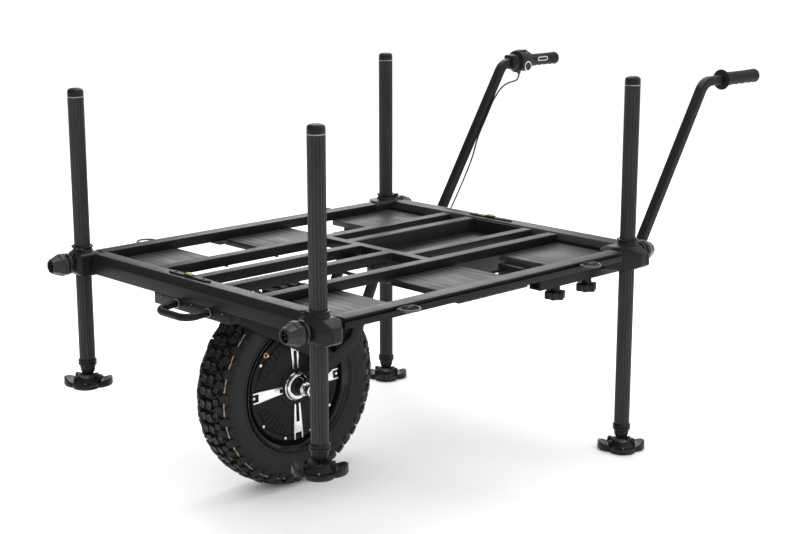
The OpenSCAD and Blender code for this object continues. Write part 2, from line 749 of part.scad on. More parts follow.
// Throttle unit on the left handle: clamp band, flange and drum, with a pod for the button
band_y = [809, 822];
drum_y = [838, left_grip_y - 8];
drum_r = 28;
neck_r = 16;
button_r = 10;
button_y = 857;
button_drop = 12;
button_out = 30;
button_travel = 3;
module throttle_body() {
    color([0.08, 0.08, 0.08]) translate([-handle_x, 0, handle_high]) difference() {
        union() {
            along_y(band_y[0], band_y[1]) cut_square(40, 11);
            rotate([-90, 0, 0]) {
                translate([0, 0, band_y[1] - 1]) cylinder(r = drum_r - 7, h = drum_y[0] - band_y[1] + 2);
                translate([0, 0, drum_y[0]]) cylinder(r = drum_r + 2, h = 6);
                translate([0, 0, drum_y[0]]) cylinder(r = drum_r, h = drum_y[1] - drum_y[0]);
                translate([0, 0, drum_y[1] - 1]) cylinder(r = neck_r, h = left_grip_y - drum_y[1] + 1);
            }
            block([-12, drum_y[0] + 10, drum_r - 8], [8, drum_y[1] - 8, drum_r + 3]);
            translate([12, button_y, -button_drop]) rotate([0, 90, 0])
                cylinder(r = button_r + 4, h = button_out - 13);
            translate([0, 852, -handle_high + 311]) cylinder(r = 5, h = 12);
        }
        along_y(band_y[0] - 1, left_grip_y + 1) cut_square(socket_w, corner_cut);
        translate([button_out - button_travel - 5, button_y, -button_drop]) rotate([0, 90, 0])
            cylinder(r = button_r + turn_gap, h = 20);
    }
}

// Thumb paddle on a ring that turns on the drum's neck
paddle_w = 15;
module throttle_lever() {
    color([0.15, 0.15, 0.16]) translate([-handle_x, 0, handle_high]) difference() {
        union() {
            rotate([-90, 0, 0]) translate([0, 0, drum_y[1] + near_gap])
                cylinder(r = neck_r + 6, h = left_grip_y - drum_y[1] - 2 * near_gap);
            block([grip_r + 2.5, drum_y[1] + near_gap, -3], [grip_r + 7.5, left_grip_y + 50, paddle_w - 3]);
        }
        rotate([-90, 0, 0]) translate([0, 0, drum_y[1] - 1])
            cylinder(r = neck_r + turn_gap, h = left_grip_y - drum_y[1] + 2);
    }
}

module throttle_button() {
    color([0.7, 0.1, 0.1])
        translate([-handle_x + button_out - button_travel + 1, button_y, handle_high - button_drop])
            rotate([0, 90, 0]) cylinder(r = button_r, h = button_travel);
}

module receiver(side) {
    w = socket_w / 2 + receiver_wall;
    top = cross_rail_h;
    color([0.2, 0.2, 0.22]) translate([side * handle_x, 0, 0]) difference() {
        union() {
            block([-w, receiver_y, -handle_low - w], [w, receiver_y + receiver_l, -top]);
            block([-w, mid_plate_rear + plate_gap + plate_t, -top - 1], [w, rear_in, -plate_low]);
        }
        along_y(receiver_y - 1, receiver_y + receiver_l + 1) translate([0, -handle_low])
            cut_square(socket_w, corner_cut);
        for (y = screw_ys) translate([0, y, -handle_low - w - 1]) cylinder(r = 4 + turn_gap, h = w);
    }
}
screw_ys = [246, 357];

module receiver_knob(side, y) {
    low = handle_low + socket_w / 2 + receiver_wall;
    color([0.1, 0.1, 0.1]) translate([side * handle_x, y, -low - near_gap]) {
        cylinder(r = 4, h = receiver_wall - 0.4 + near_gap);
        translate([0, 0, -12]) cylinder(r = 12, h = 12);
        translate([0, 0, -32]) difference() {
            cylinder(r = screw_knob_r, h = 20);
            for (k = [0 : 5]) rotate([0, 0, 60 * k])
                translate([screw_knob_r + 6, 0, -1]) cylinder(r = 11, h = 22);
        }
    }
}

// ---- Lashing rings ----
ring_wire = 2.4;
ring_x = side_out + 3.5;
ring_z = -groove_lip - groove_h / 2;
ring_half = 22;
ring_corner = 6;
ring_arm = 8;
saddle_w = 12;
ring_front_y = -323;
ring_rear_y = 232;
module d_ring(side, y) {
    color([0.75, 0.75, 0.77]) translate([side * ring_x, y, ring_z]) scale([side, 1, 1]) {
        translate([0, ring_half - ring_corner, 0]) rotate([90, 0, 0])
            cylinder(r = ring_wire, h = 2 * (ring_half - ring_corner), $fn = 24);
        for (s = [-1, 1]) scale([1, s, 1]) {
            translate([ring_corner, ring_half - ring_corner, 0]) rotate([0, 0, 90])
                rotate_extrude(angle = 90, $fn = 24) translate([ring_corner, 0]) circle(ring_wire, $fn = 24);
            translate([ring_corner, ring_half, 0]) rotate([0, 90, 0])
                cylinder(r = ring_wire, h = ring_arm, $fn = 24);
        }
        translate([ring_corner + ring_arm, 0, 0]) rotate([0, 0, -90])
            rotate_extrude(angle = 180, $fn = 48) translate([ring_half, 0]) circle(ring_wire, $fn = 24);
    }
}

// ---- Cables ----
module throttle_cable() { color([0.05, 0.05, 0.05]) cord(throttle_route, throttle_cable_r, 8); }
module motor_cable() { color([0.05, 0.05, 0.05]) cord(motor_route, motor_cable_r, 8); }

// The fixed half of the throttle plug, under the rear rail
plug_end = throttle_route[len(throttle_route) - 1];
plug_l = 25;
module cable_plugs() {
    color([0.1, 0.1, 0.1]) {
        translate([plug_end[0], plug_end[1] - near_gap, plug_end[2]])
            rotate([90, 0, 0]) cylinder(r = 6, h = plug_l);
        block([plug_end[0] - 3, plug_end[1] - plug_l, plug_end[2] + 3],
              [plug_end[0] + 3, deck_rear - 2, -cross_rail_h]);
    }
}

module left_rail() { side_rail(-1); }
module right_rail() { side_rail(1); }
module left_plates() { side_plates(-1); }
module right_plates() { side_plates(1); }
module left_handle() { handle(-1); }
module right_handle() { handle(1); }
module left_grip() { grip(-1); }
module right_grip() { grip(1); }
module left_receiver() { receiver(-1); }
module right_receiver() { receiver(1); }
module receiver_knob_left_front() { receiver_knob(-1, screw_ys[0]); }
module receiver_knob_left_rear() { receiver_knob(-1, screw_ys[1]); }
module receiver_knob_right_front() { receiver_knob(1, screw_ys[0]); }
module receiver_knob_right_rear() { receiver_knob(1, screw_ys[1]); }
module d_ring_left_front() { d_ring(-1, ring_front_y); }
module d_ring_left_rear() { d_ring(-1, ring_rear_y); }
module d_ring_right_front() { d_ring(1, ring_front_y); }
module d_ring_right_rear() { d_ring(1, ring_rear_y); }

front_rail();
rear_rail();
left_rail();
right_rail();
inner_bars();
left_plates();
right_plates();
battery_tray();
battery_pack();
controller_box();
level_brackets();
level_vials();
clamp_front_left();
clamp_front_right();
clamp_rear_left();
clamp_rear_right();
clamp_knob_front_left();
clamp_knob_front_right();
clamp_knob_rear_left();
clamp_knob_rear_right();
leg_front_left();
leg_front_right();
leg_rear_left();
leg_rear_right();
leg_ends_front_left();
leg_ends_front_right();
leg_ends_rear_left();
leg_ends_rear_right();
foot_front_left();
foot_front_right();
foot_rear_left();
foot_rear_right();
tyre();
rim();
hub_motor();
hub_spokes();
axle();
axle_nuts();
fork_plates();
front_channel();
lift_loop();
left_handle();
right_handle();
left_grip();
right_grip();
throttle_body();
throttle_lever();
throttle_button();
left_receiver();
right_receiver();
receiver_knob_left_front();
receiver_knob_left_rear();
receiver_knob_right_front();
receiver_knob_right_rear();
d_ring_left_front();
d_ring_left_rear();
d_ring_right_front();
d_ring_right_rear();
throttle_cable();
motor_cable();
cable_plugs();
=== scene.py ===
import json
import math
import random
from contextlib import contextmanager

import bpy
from mathutils import Matrix, Vector

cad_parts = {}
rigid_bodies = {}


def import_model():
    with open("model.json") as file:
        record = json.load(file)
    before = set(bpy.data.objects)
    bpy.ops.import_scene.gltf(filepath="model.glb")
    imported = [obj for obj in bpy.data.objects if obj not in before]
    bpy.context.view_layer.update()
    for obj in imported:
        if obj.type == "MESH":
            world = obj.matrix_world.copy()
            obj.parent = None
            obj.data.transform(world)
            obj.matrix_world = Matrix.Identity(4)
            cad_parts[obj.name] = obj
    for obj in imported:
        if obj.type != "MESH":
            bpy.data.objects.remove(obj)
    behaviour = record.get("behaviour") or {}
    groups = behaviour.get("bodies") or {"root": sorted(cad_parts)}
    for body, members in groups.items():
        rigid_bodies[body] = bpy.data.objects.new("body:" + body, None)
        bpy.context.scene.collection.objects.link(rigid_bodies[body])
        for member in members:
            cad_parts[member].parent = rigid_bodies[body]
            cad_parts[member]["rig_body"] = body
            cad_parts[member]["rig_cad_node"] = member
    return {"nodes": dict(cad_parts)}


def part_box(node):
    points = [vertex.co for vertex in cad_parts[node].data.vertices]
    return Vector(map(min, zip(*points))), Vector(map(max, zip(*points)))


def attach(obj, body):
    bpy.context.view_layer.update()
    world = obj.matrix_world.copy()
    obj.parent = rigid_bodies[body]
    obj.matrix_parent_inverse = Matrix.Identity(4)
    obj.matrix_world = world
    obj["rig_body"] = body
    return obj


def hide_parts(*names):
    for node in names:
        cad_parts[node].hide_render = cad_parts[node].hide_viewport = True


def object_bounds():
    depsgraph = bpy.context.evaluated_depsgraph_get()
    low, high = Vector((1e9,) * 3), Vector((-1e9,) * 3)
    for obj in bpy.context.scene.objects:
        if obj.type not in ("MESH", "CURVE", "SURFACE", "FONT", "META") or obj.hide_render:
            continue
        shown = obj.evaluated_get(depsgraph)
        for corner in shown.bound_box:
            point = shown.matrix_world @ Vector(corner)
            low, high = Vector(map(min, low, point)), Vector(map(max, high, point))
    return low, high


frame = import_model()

bl_info = {
    "name": "Platform barrow",
    "version": (1, 0, 0),
    "blender": (4, 5, 0),
    "location": "View3D > Sidebar > Barrow",
    "description": "Builds the visible pieces of a motorised platform barrow round its frame",
    "category": "Add Mesh",
}

MM = 0.001
ORIGIN = (0, 0, 0)
CAD_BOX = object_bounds()
CORNERS = ("front_left", "front_right", "rear_left", "rear_right")
QUARTERS = ("left_front", "left_rear", "right_front", "right_rear")


def mm(*points):
    """Points given in millimetres, as points in metres."""
    return [tuple(MM * value for value in point) for point in points]


# ---- Modelling helpers ----

def focus(piece):
    """Make piece the only selected object and the active one."""
    bpy.ops.object.select_all(action="DESELECT")
    piece.select_set(True)
    bpy.context.view_layer.objects.active = piece


@contextmanager
def editing(piece, kind="FACE", whole=False):
    """Edit mode on piece, choosing vertices, edges or faces. whole selects them all first."""
    focus(piece)
    bpy.ops.object.mode_set(mode="EDIT")
    bpy.ops.mesh.select_mode(type=kind)
    if whole:
        bpy.ops.mesh.select_all(action="SELECT")
    yield
    bpy.ops.object.mode_set(mode="OBJECT")


def select(piece, kind, test):
    """Select the vertices, edges or faces of piece that pass test."""
    with editing(piece, kind):
        bpy.ops.mesh.select_all(action="DESELECT")
    mesh = piece.data
    items = {"VERT": mesh.vertices, "EDGE": mesh.edges, "FACE": mesh.polygons}[kind]
    for item in items:
        item.select = test(item)


def added(name):
    """Name the piece that an operator has just made."""
    piece = bpy.context.object
    piece.name = name
    piece.data.name = name
    return piece


def settle(piece, matrix=None):
    """Put piece where matrix says and leave its object at the origin."""
    focus(piece)
    if matrix is not None:
        piece.matrix_world = matrix @ piece.matrix_world
    bpy.ops.object.transform_apply(location=True, rotation=True, scale=True)
    return piece


def upright(axis, at):
    """A matrix that turns local Z along axis and puts the origin at a place."""
    turn = {"X": Matrix.Rotation(math.pi / 2, 4, "Y"),
            "Y": Matrix.Rotation(-math.pi / 2, 4, "X"),
            "Z": Matrix.Identity(4)}[axis]
    return Matrix.Translation(at) @ turn


def modified(piece, kind, **settings):
    """Add one modifier to piece and apply it."""
    modifier = piece.modifiers.new(kind.title(), kind)
    for key, value in settings.items():
        setattr(modifier, key, value)
    focus(piece)
    bpy.ops.object.modifier_apply(modifier=modifier.name)
    return piece


def softened(piece, width, segments=2, angle=32):
    """Round the edges that are sharper than an angle in degrees."""
    return modified(piece, "BEVEL", width=width, segments=segments, limit_method="ANGLE",
                    angle_limit=math.radians(angle), use_clamp_overlap=True)


def cut(piece, cutter):
    """Take the cutter away from piece."""
    modified(piece, "BOOLEAN", operation="DIFFERENCE", object=cutter, solver="EXACT")
    bpy.data.objects.remove(cutter)
    return piece


def trimmed(piece, at, normal):
    """Slice off what lies beyond a plane and close the cut."""
    with editing(piece, whole=True):
        bpy.ops.mesh.bisect(plane_co=at, plane_no=normal, use_fill=True, clear_outer=True)
    return piece


def drum(name, radius, length, at, axis="Z", sides=48, end_radius=None):
    """A cylinder or cone that starts at a place and runs along axis."""
    end_radius = radius if end_radius is None else end_radius
    bpy.ops.mesh.primitive_cone_add(vertices=sides, radius1=radius, radius2=end_radius, depth=length,
                                    location=(0, 0, length / 2))
    return settle(added(name), upright(axis, at))


def block(name, low, high):
    """A box between two corners."""
    low, high = Vector(low), Vector(high)
    bpy.ops.mesh.primitive_cube_add(size=1, location=(low + high) / 2)
    piece = added(name)
    piece.scale = high - low
    return settle(piece)


def ball(name, radius, at, rings=12):
    """A sphere round a place."""
    bpy.ops.mesh.primitive_uv_sphere_add(segments=2 * rings, ring_count=rings, radius=radius, location=at)
    return settle(added(name))


def line(name, points):
    """A chain of edges through points, drawn by extruding one vertex."""
    bpy.ops.mesh.primitive_plane_add(size=MM)
    piece = added(name)
    with editing(piece, "VERT", whole=True):
        bpy.ops.mesh.merge(type="CENTER")
        bpy.ops.transform.translate(value=points[0])
        for here, there in zip(points, points[1:]):
            step = Vector(there) - Vector(here)
            bpy.ops.mesh.extrude_region_move(TRANSFORM_OT_translate={"value": step})
    return piece


def lathe(name, profile, at, axis="Z", steps=64):
    """A turned piece: profile holds radius and height pairs along the axis."""
    piece = line(name, [(r, 0, h) for r, h in profile])
    with editing(piece, "VERT", whole=True):
        bpy.ops.mesh.spin(steps=steps, angle=2 * math.pi, center=ORIGIN, axis=(0, 0, 1))
        bpy.ops.mesh.select_all(action="SELECT")
        bpy.ops.mesh.remove_doubles(threshold=0.01 * MM)
        bpy.ops.mesh.normals_make_consistent(inside=False)
    return settle(piece, upright(axis, at))


def slab(name, outline, thickness, matrix):
    """An outline in local X and Y, extruded along local Z."""
    piece = line(name, [(x, y, 0) for x, y in outline])
    with editing(piece, "VERT", whole=True):
        bpy.ops.mesh.edge_face_add()
        bpy.ops.mesh.extrude_region_move(TRANSFORM_OT_translate={"value": (0, 0, thickness)})
        bpy.ops.mesh.select_all(action="SELECT")
        bpy.ops.mesh.normals_make_consistent(inside=False)
    return settle(piece, matrix)


def facing_x(x):
    """A slab's place with its outline in Y and Z, running towards +X from x."""
    return Matrix(((0, 0, 1, x), (1, 0, 0, 0), (0, 1, 0, 0), (0, 0, 0, 1)))


def ring_of(piece, count, axis=(1, 0, 0)):
    """Repeat all of piece's mesh count times round an axis through the origin."""
    with editing(piece, "VERT", whole=True):
        bpy.ops.mesh.spin(steps=count - 1, angle=2 * math.pi * (count - 1) / count, dupli=True,
                          center=ORIGIN, axis=axis)
    return piece


def faced_out(piece):
    """Turn every face of a closed piece outwards."""
    with editing(piece, whole=True):
        bpy.ops.mesh.normals_make_consistent(inside=False)
    return piece


def copy_of(piece, name, matrix):
    """A copy moved by matrix; a mirrored copy has its faces turned outwards again."""
    focus(piece)
    bpy.ops.object.duplicate()
    twin = settle(added(name), matrix)
    return faced_out(twin) if matrix.determinant() < 0 else twin


def joined(name, pieces):
    """Several pieces made one."""
    focus(pieces[0])
    for piece in pieces:
        piece.select_set(True)
    if len(pieces) > 1:
        bpy.ops.object.join()
    return added(name)


def skin_of(node, width=0.8 * MM, segments=2, angle=32):
    """A copy of a frame node with its edges eased."""
    focus(frame["nodes"][node])
    bpy.ops.object.duplicate()
    piece = added(node + "_skin")
    piece.parent = None
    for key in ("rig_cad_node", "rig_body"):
        del piece[key]
    with editing(piece, "VERT", whole=True):
        bpy.ops.mesh.remove_doubles(threshold=0.01 * MM)
        bpy.ops.mesh.dissolve_limited(angle_limit=math.radians(0.5))
    settle(piece)
    return softened(piece, width, segments, angle) if width else piece


def swept(name, points, radius, sides=12):
    """A round rod along points."""
    curve = bpy.data.curves.new(name, "CURVE")
    curve.dimensions = "3D"
    curve.bevel_depth = radius
    curve.bevel_resolution = sides // 4
    curve.resolution_u = 6
    curve.use_fill_caps = True
    spline = curve.splines.new("NURBS")
    spline.points.add(len(points) - 1)
    for point, place in zip(spline.points, points):
        point.co = (*place, 1)
    spline.order_u = 3
    spline.use_endpoint_u = True
    piece = bpy.data.objects.new(name, curve)
    bpy.context.scene.collection.objects.link(piece)
    focus(piece)
    bpy.ops.object.convert(target="MESH")
    return added(name)


def finished(piece, body, material, nodes=(), angle=40):
    """Shade a piece, give it its material and let it ride on its body."""
    focus(piece)
    bpy.ops.object.shade_smooth_by_angle(angle=math.radians(angle))
    piece.data.materials.clear()
    piece.data.materials.append(material)
    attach(piece, body)
    if nodes:
        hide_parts(*nodes)
    return piece


def middle(node):
    """The middle of a frame node's box."""
    low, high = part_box(node)
    return (low + high) / 2


# ---- Materials ----

def set_inputs(node, values):
    """Set a node's inputs, named with _ where the input's name has a space."""
    for key, value in values.items():
        node.inputs[key.replace("_", " ")].default_value = value


def add_node(nodes, kind, **values):
    node = nodes.new("ShaderNode" + kind)
    set_inputs(node, values)
    return node


def new_material(name, **values):
    """A material with its nodes, its links and its shader, whose inputs are set."""
    material = bpy.data.materials.new(name)
    material.use_nodes = True
    tree = material.node_tree
    shader = tree.nodes["Principled BSDF"]
    set_inputs(shader, values)
    return material, tree.nodes, tree.links, shader


def tones(ramp, dark, light):
    """Give a colour ramp its dark and its light end."""
    for element, colour in zip(ramp.color_ramp.elements, (dark, light)):
        element.color = (*colour, 1)


def surface(name, colour, roughness, metallic=0.0, ior=1.45, grain=0.0, grain_size=900.0,
            blotch=0.25, blotch_size=14.0, spread=0.10, stretch=(1, 1, 1)):
    """A finish with mottled colour and roughness and a fine grain. grain is the bump's height
    in metres, and stretch draws the pattern out along an axis."""
    material, nodes, links, shader = new_material(name, Metallic=metallic, IOR=ior)
    place = add_node(nodes, "TexCoord")
    mapping = add_node(nodes, "Mapping", Scale=stretch)
    links.new(place.outputs["Object"], mapping.inputs["Vector"])

    mottle = add_node(nodes, "TexNoise", Scale=blotch_size, Detail=6, Roughness=0.65)
    links.new(mapping.outputs["Vector"], mottle.inputs["Vector"])
    tint = add_node(nodes, "ValToRGB")
    tint.color_ramp.elements[0].position = 0.30
    tint.color_ramp.elements[1].position = 0.72
    tones(tint, [c * (1 - blotch) for c in colour], [min(1, c * (1 + blotch)) for c in colour])
    links.new(mottle.outputs["Fac"], tint.inputs["Fac"])
    links.new(tint.outputs["Color"], shader.inputs["Base Color"])

    rough = add_node(nodes, "MapRange", From_Min=0.3, From_Max=0.7,
                     To_Min=max(0.02, roughness - spread / 2), To_Max=min(1.0, roughness + spread / 2))
    links.new(mottle.outputs["Fac"], rough.inputs["Value"])
    links.new(rough.outputs["Result"], shader.inputs["Roughness"])

    if grain:
        fine = add_node(nodes, "TexNoise", Scale=grain_size, Detail=3)
        links.new(mapping.outputs["Vector"], fine.inputs["Vector"])
        bump = add_node(nodes, "Bump", Distance=grain, Strength=0.6)
        links.new(fine.outputs["Fac"], bump.inputs["Height"])
        links.new(bump.outputs["Normal"], shader.inputs["Normal"])
    return material


def plate_surface(name, colour):
    """Dark brushed sheet with long streaks across the plate, like the figure in wood."""
    material = surface(name, colour, 0.45, metallic=0.2, ior=1.25, blotch=0.35, blotch_size=5.0,
                       stretch=(1.2, 9.0, 9.0), spread=0.2, grain=0.15 * MM, grain_size=60.0)
    nodes, links = material.node_tree.nodes, material.node_tree.links
    shader = nodes["Principled BSDF"]
    mapping = nodes["Mapping"]
    figure = add_node(nodes, "TexWave", Scale=1.6, Distortion=5.0, Detail=3.0, Detail_Scale=1.6)
    figure.wave_type = "BANDS"
    figure.bands_direction = "Y"
    links.new(mapping.outputs["Vector"], figure.inputs["Vector"])
    shade = add_node(nodes, "ValToRGB")
    tones(shade, [c * 0.45 for c in colour], [c * 1.5 for c in colour])
    links.new(figure.outputs["Fac"], shade.inputs["Fac"])
    links.new(shade.outputs["Color"], shader.inputs["Base Color"])
    return material


def glowing_glass_surface(name, colour):
    """The clear liquid of a spirit level, with a faint painted glow (emission) so that it reads in shade."""
    # The emission is a painted glow: the liquid is no lamp.
    material, nodes, links, shader = new_material(name, Roughness=0.06, Emission_Strength=0.05,
                                                  Emission_Color=(*colour, 1))
    place = add_node(nodes, "TexCoord")
    cloud = add_node(nodes, "TexNoise", Scale=60)
    tint = add_node(nodes, "ValToRGB")
    tones(tint, [c * 0.85 for c in colour], colour)
    links.new(place.outputs["Object"], cloud.inputs["Vector"])
    links.new(cloud.outputs["Fac"], tint.inputs["Fac"])
    links.new(tint.outputs["Color"], shader.inputs["Base Color"])
    return material


FINISHES = {}


def make_finishes(colours):
    FINISHES.update({
        "rail": surface("satin_black_rail", colours.rail, 0.40, ior=1.25, grain=0.02 * MM, grain_size=1400,
                        blotch=0.2, blotch_size=30),
        "plate": plate_surface("brushed_plate", colours.plate),
        "leg": surface("anodised_leg", colours.leg, 0.42, ior=1.30, grain=0.02 * MM, grain_size=700,
                       blotch=0.35, blotch_size=40, stretch=(1, 1, 0.12)),
        "clamp": surface("cast_clamp", colours.clamp, 0.36, ior=1.27, grain=0.05 * MM, grain_size=1500,
                         blotch=0.25),
        "knob": surface("moulded_knob", colours.clamp, 0.28, ior=1.42, grain=0.02 * MM, grain_size=1500,
                        blotch=0.2),
        "frame": surface("black_coat", colours.black, 0.38, ior=1.27, grain=0.03 * MM, grain_size=1300,
                         blotch=0.3),
        "motor": surface("motor_black", colours.black, 0.45, ior=1.25, grain=0.03 * MM, grain_size=1200,
                         blotch=0.3),
        "gloss": surface("rim_gloss", colours.black, 0.16, ior=1.4, blotch=0.2, spread=0.06),
        "polished": surface("polished_spoke", (0.80, 0.80, 0.79), 0.24, metallic=1.0, blotch=0.06,
                            blotch_size=300, spread=0.12, grain=0.01 * MM, grain_size=2500),
        "chrome": surface("chrome", (0.78, 0.78, 0.80), 0.12, metallic=1.0, blotch=0.04, spread=0.06),
        "steel": surface("zinc_steel", (0.50, 0.50, 0.51), 0.28, metallic=1.0, blotch=0.12,
                         blotch_size=120, grain=0.02 * MM, grain_size=1200),
        "wire": surface("dark_wire", (0.10, 0.10, 0.105), 0.35, metallic=1.0, blotch=0.2, blotch_size=200,
                        grain=0.02 * MM, grain_size=1200),
        "band": surface("leg_band", (0.30, 0.30, 0.31), 0.30, metallic=1.0, blotch=0.1, blotch_size=120),
        "copper": surface("copper", (0.75, 0.38, 0.17), 0.3, metallic=1.0, blotch=0.2, blotch_size=90),
        "plastic": surface("moulded_plastic", colours.plastic, 0.40, ior=1.33, grain=0.04 * MM,
                           grain_size=1800, blotch=0.2),
        "grip": surface("grip_rubber", colours.grip, 0.55, ior=1.25, grain=0.08 * MM, grain_size=1400,
                        blotch=0.2),
        "tyre": surface("tyre_rubber", colours.tyre, 0.50, ior=1.30, grain=0.10 * MM, grain_size=500,
                        blotch=0.35, blotch_size=40),
        "lug": surface("lug_rubber", [0.8 * c for c in colours.tyre], 0.42, ior=1.33, grain=0.10 * MM,
                       grain_size=700, blotch=0.4, blotch_size=60),
        "tan": surface("tan_line", (0.42, 0.27, 0.16), 0.7, ior=1.2, blotch=0.45, blotch_size=160),
        "cable": surface("cable_jacket", (0.006, 0.006, 0.006), 0.40, ior=1.3, blotch=0.2,
                         blotch_size=80),
        "weld": surface("weld_bead", [1.5 * c for c in colours.rail], 0.35, ior=1.35, grain=0.10 * MM,
                        grain_size=900, blotch=0.35, blotch_size=200),
        "vial": glowing_glass_surface("vial_liquid", (0.42, 0.44, 0.10)),
    })


# ---- Properties ----

def colour_property(label, words, value):
    return bpy.props.FloatVectorProperty(name=label, description=words, default=value, size=3, min=0, max=1,
                                         subtype="COLOR")


def length_property(label, words, value):
    return bpy.props.FloatProperty(name=label, description=words, default=value, min=0, unit="LENGTH",
                                   subtype="DISTANCE")


class BarrowColours(bpy.types.PropertyGroup):
    rail: colour_property("Rails", "Satin coat on rails and bars", (0.007, 0.007, 0.0085))
    plate: colour_property("Plates", "Brushed sheet of the recessed plates", (0.030, 0.030, 0.031))
    leg: colour_property("Legs", "Anodised leg tubes", (0.026, 0.026, 0.027))
    clamp: colour_property("Clamps", "Cast clamps and their knobs", (0.011, 0.011, 0.0115))
    black: colour_property("Black coat", "Fork, handles and motor", (0.006, 0.006, 0.0065))
    plastic: colour_property("Plastic", "Moulded caps, feet and housings", (0.006, 0.006, 0.006))
    grip: colour_property("Grips", "Rubber of the grips", (0.010, 0.010, 0.010))
    tyre: colour_property("Tyre", "Rubber of the tyre", (0.010, 0.010, 0.0105))


class BarrowDetails(bpy.types.PropertyGroup):
    edge: length_property("Rail edges", "Radius of the eased rail edges", 1.2 * MM)
    weld: length_property("Weld beads", "Radius of the weld beads", 2.6 * MM)
    flute: length_property("Flutes", "Depth of the flutes in the leg tubes", 1.5 * MM)
    flutes: bpy.props.IntProperty(name="Flute count", description="Flutes round a leg tube", default=16,
                                  min=4, max=24)
    lug: length_property("Lug height", "Height of the tyre's lugs", 11 * MM)
    lugs: bpy.props.IntProperty(name="Lug rows", description="Rows of lugs round the tyre", default=25,
                                min=12, max=60)
    hair: length_property("Hair length", "Length of the moulding hairs on the tyre", 9 * MM)


# ---- Stage ----

class BARROW_OT_stage(bpy.types.Operator):
    """Add the floor, the lights and the camera"""
    bl_idname = "barrow.stage"
    bl_label = "Stage"

    def execute(self, context):
        scene = context.scene
        make_finishes(scene.barrow_colours)
        ground = CAD_BOX[0][2]
        bpy.ops.mesh.primitive_plane_add(size=200, location=(0, 0, ground))
        floor = settle(added("floor"))
        pale = new_material("pale_floor", Base_Color=(0.98, 0.98, 0.98, 1), Roughness=0.9,
                            Specular_IOR_Level=0.1)[0]
        floor.data.materials.append(pale)

        scene.world = self.studio()
        scene.view_settings.view_transform = "Standard"
        for name, place, size, power in (("key", (-0.4, 0.6, 3.0), 2.6, 60),
                                         ("back", (-2.8, 2.6, 1.8), 2.2, 45)):
            lamp = bpy.data.lights.new(name, "AREA")
            lamp.size = size
            lamp.energy = power
            light = bpy.data.objects.new(name, lamp)
            light.location = place
            aim = Vector((0, 0, -0.1)) - Vector(place)
            light.rotation_euler = aim.to_track_quat("-Z", "Y").to_euler()
            scene.collection.objects.link(light)

        eye = bpy.data.cameras.new("camera")
        eye.lens = 70.8
        eye.sensor_width = 36
        eye.clip_end = 100
        camera = bpy.data.objects.new("camera", eye)
        camera.location = (2.5726, -2.4047, 0.7629)
        camera.rotation_euler = (math.radians(77.06), 0, math.radians(46.02))
        scene.collection.objects.link(camera)
        scene.camera = camera
        return {"FINISHED"}

    def studio(self):
        """White to the camera, and for reflections brighter behind the barrow than in front."""
        world = bpy.data.worlds.new("studio")
        world.use_nodes = True
        nodes, links = world.node_tree.nodes, world.node_tree.links
        place = add_node(nodes, "TexCoord")
        mapping = add_node(nodes, "Mapping", Rotation=(0, 0, math.radians(45)))
        split = add_node(nodes, "SeparateXYZ")
        ramp = add_node(nodes, "MapRange", From_Min=-1, From_Max=0.6, To_Min=0.18, To_Max=1.05)
        path = add_node(nodes, "LightPath")
        pick = add_node(nodes, "Mix", A=1.15)
        links.new(place.outputs["Generated"], mapping.inputs["Vector"])
        links.new(mapping.outputs["Vector"], split.inputs["Vector"])
        links.new(split.outputs["Y"], ramp.inputs["Value"])
        links.new(path.outputs["Is Glossy Ray"], pick.inputs["Factor"])
        links.new(ramp.outputs["Result"], pick.inputs["B"])
        links.new(pick.outputs["Result"], nodes["Background"].inputs["Strength"])
        nodes["Background"].inputs["Color"].default_value = (1, 1, 1, 1)
        return world


# ---- Deck ----

class BARROW_OT_deck(bpy.types.Operator):
    """Ease the rails, bars and plates, and add the weld beads"""
    bl_idname = "barrow.deck"
    bl_label = "Deck"

    def execute(self, context):
        details = context.scene.barrow_details
        for node in ("front_rail", "rear_rail", "left_rail", "right_rail", "inner_bars"):
            finished(skin_of(node, details.edge, 3), "deck", FINISHES["rail"], [node])
        for node in ("left_plates", "right_plates"):
            finished(skin_of(node, 0.6 * MM), "deck", FINISHES["plate"], [node])
        self.welds(details.weld)
        return {"FINISHED"}

    def welds(self, radius):
        """Upright beads in the corners where the bars meet the rails and the crossbar."""
        rail_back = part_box("front_rail")[1].y
        rear_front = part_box("rear_rail")[0].y
        cross = 12 * MM
        corners = []
        for half, ends in ((162, (rail_back, rear_front)), (190, (rail_back, rear_front)),
                           (38.5, (rail_back, -cross)), (65.5, (rail_back, -cross)),
                           (84.5, (cross, rear_front)), (111.5, (cross, rear_front))):
            for y in ends:
                corners += [(side * half * MM, y) for side in (-1, 1)]
        beads = []
        for x, y in corners:
            for k in range(6):
                place = (x, y, -2.5 * MM - k * 3.2 * MM)
                beads.append(ball("bead", radius, place, 6))
        finished(joined("weld_beads", beads), "deck", FINISHES["weld"])


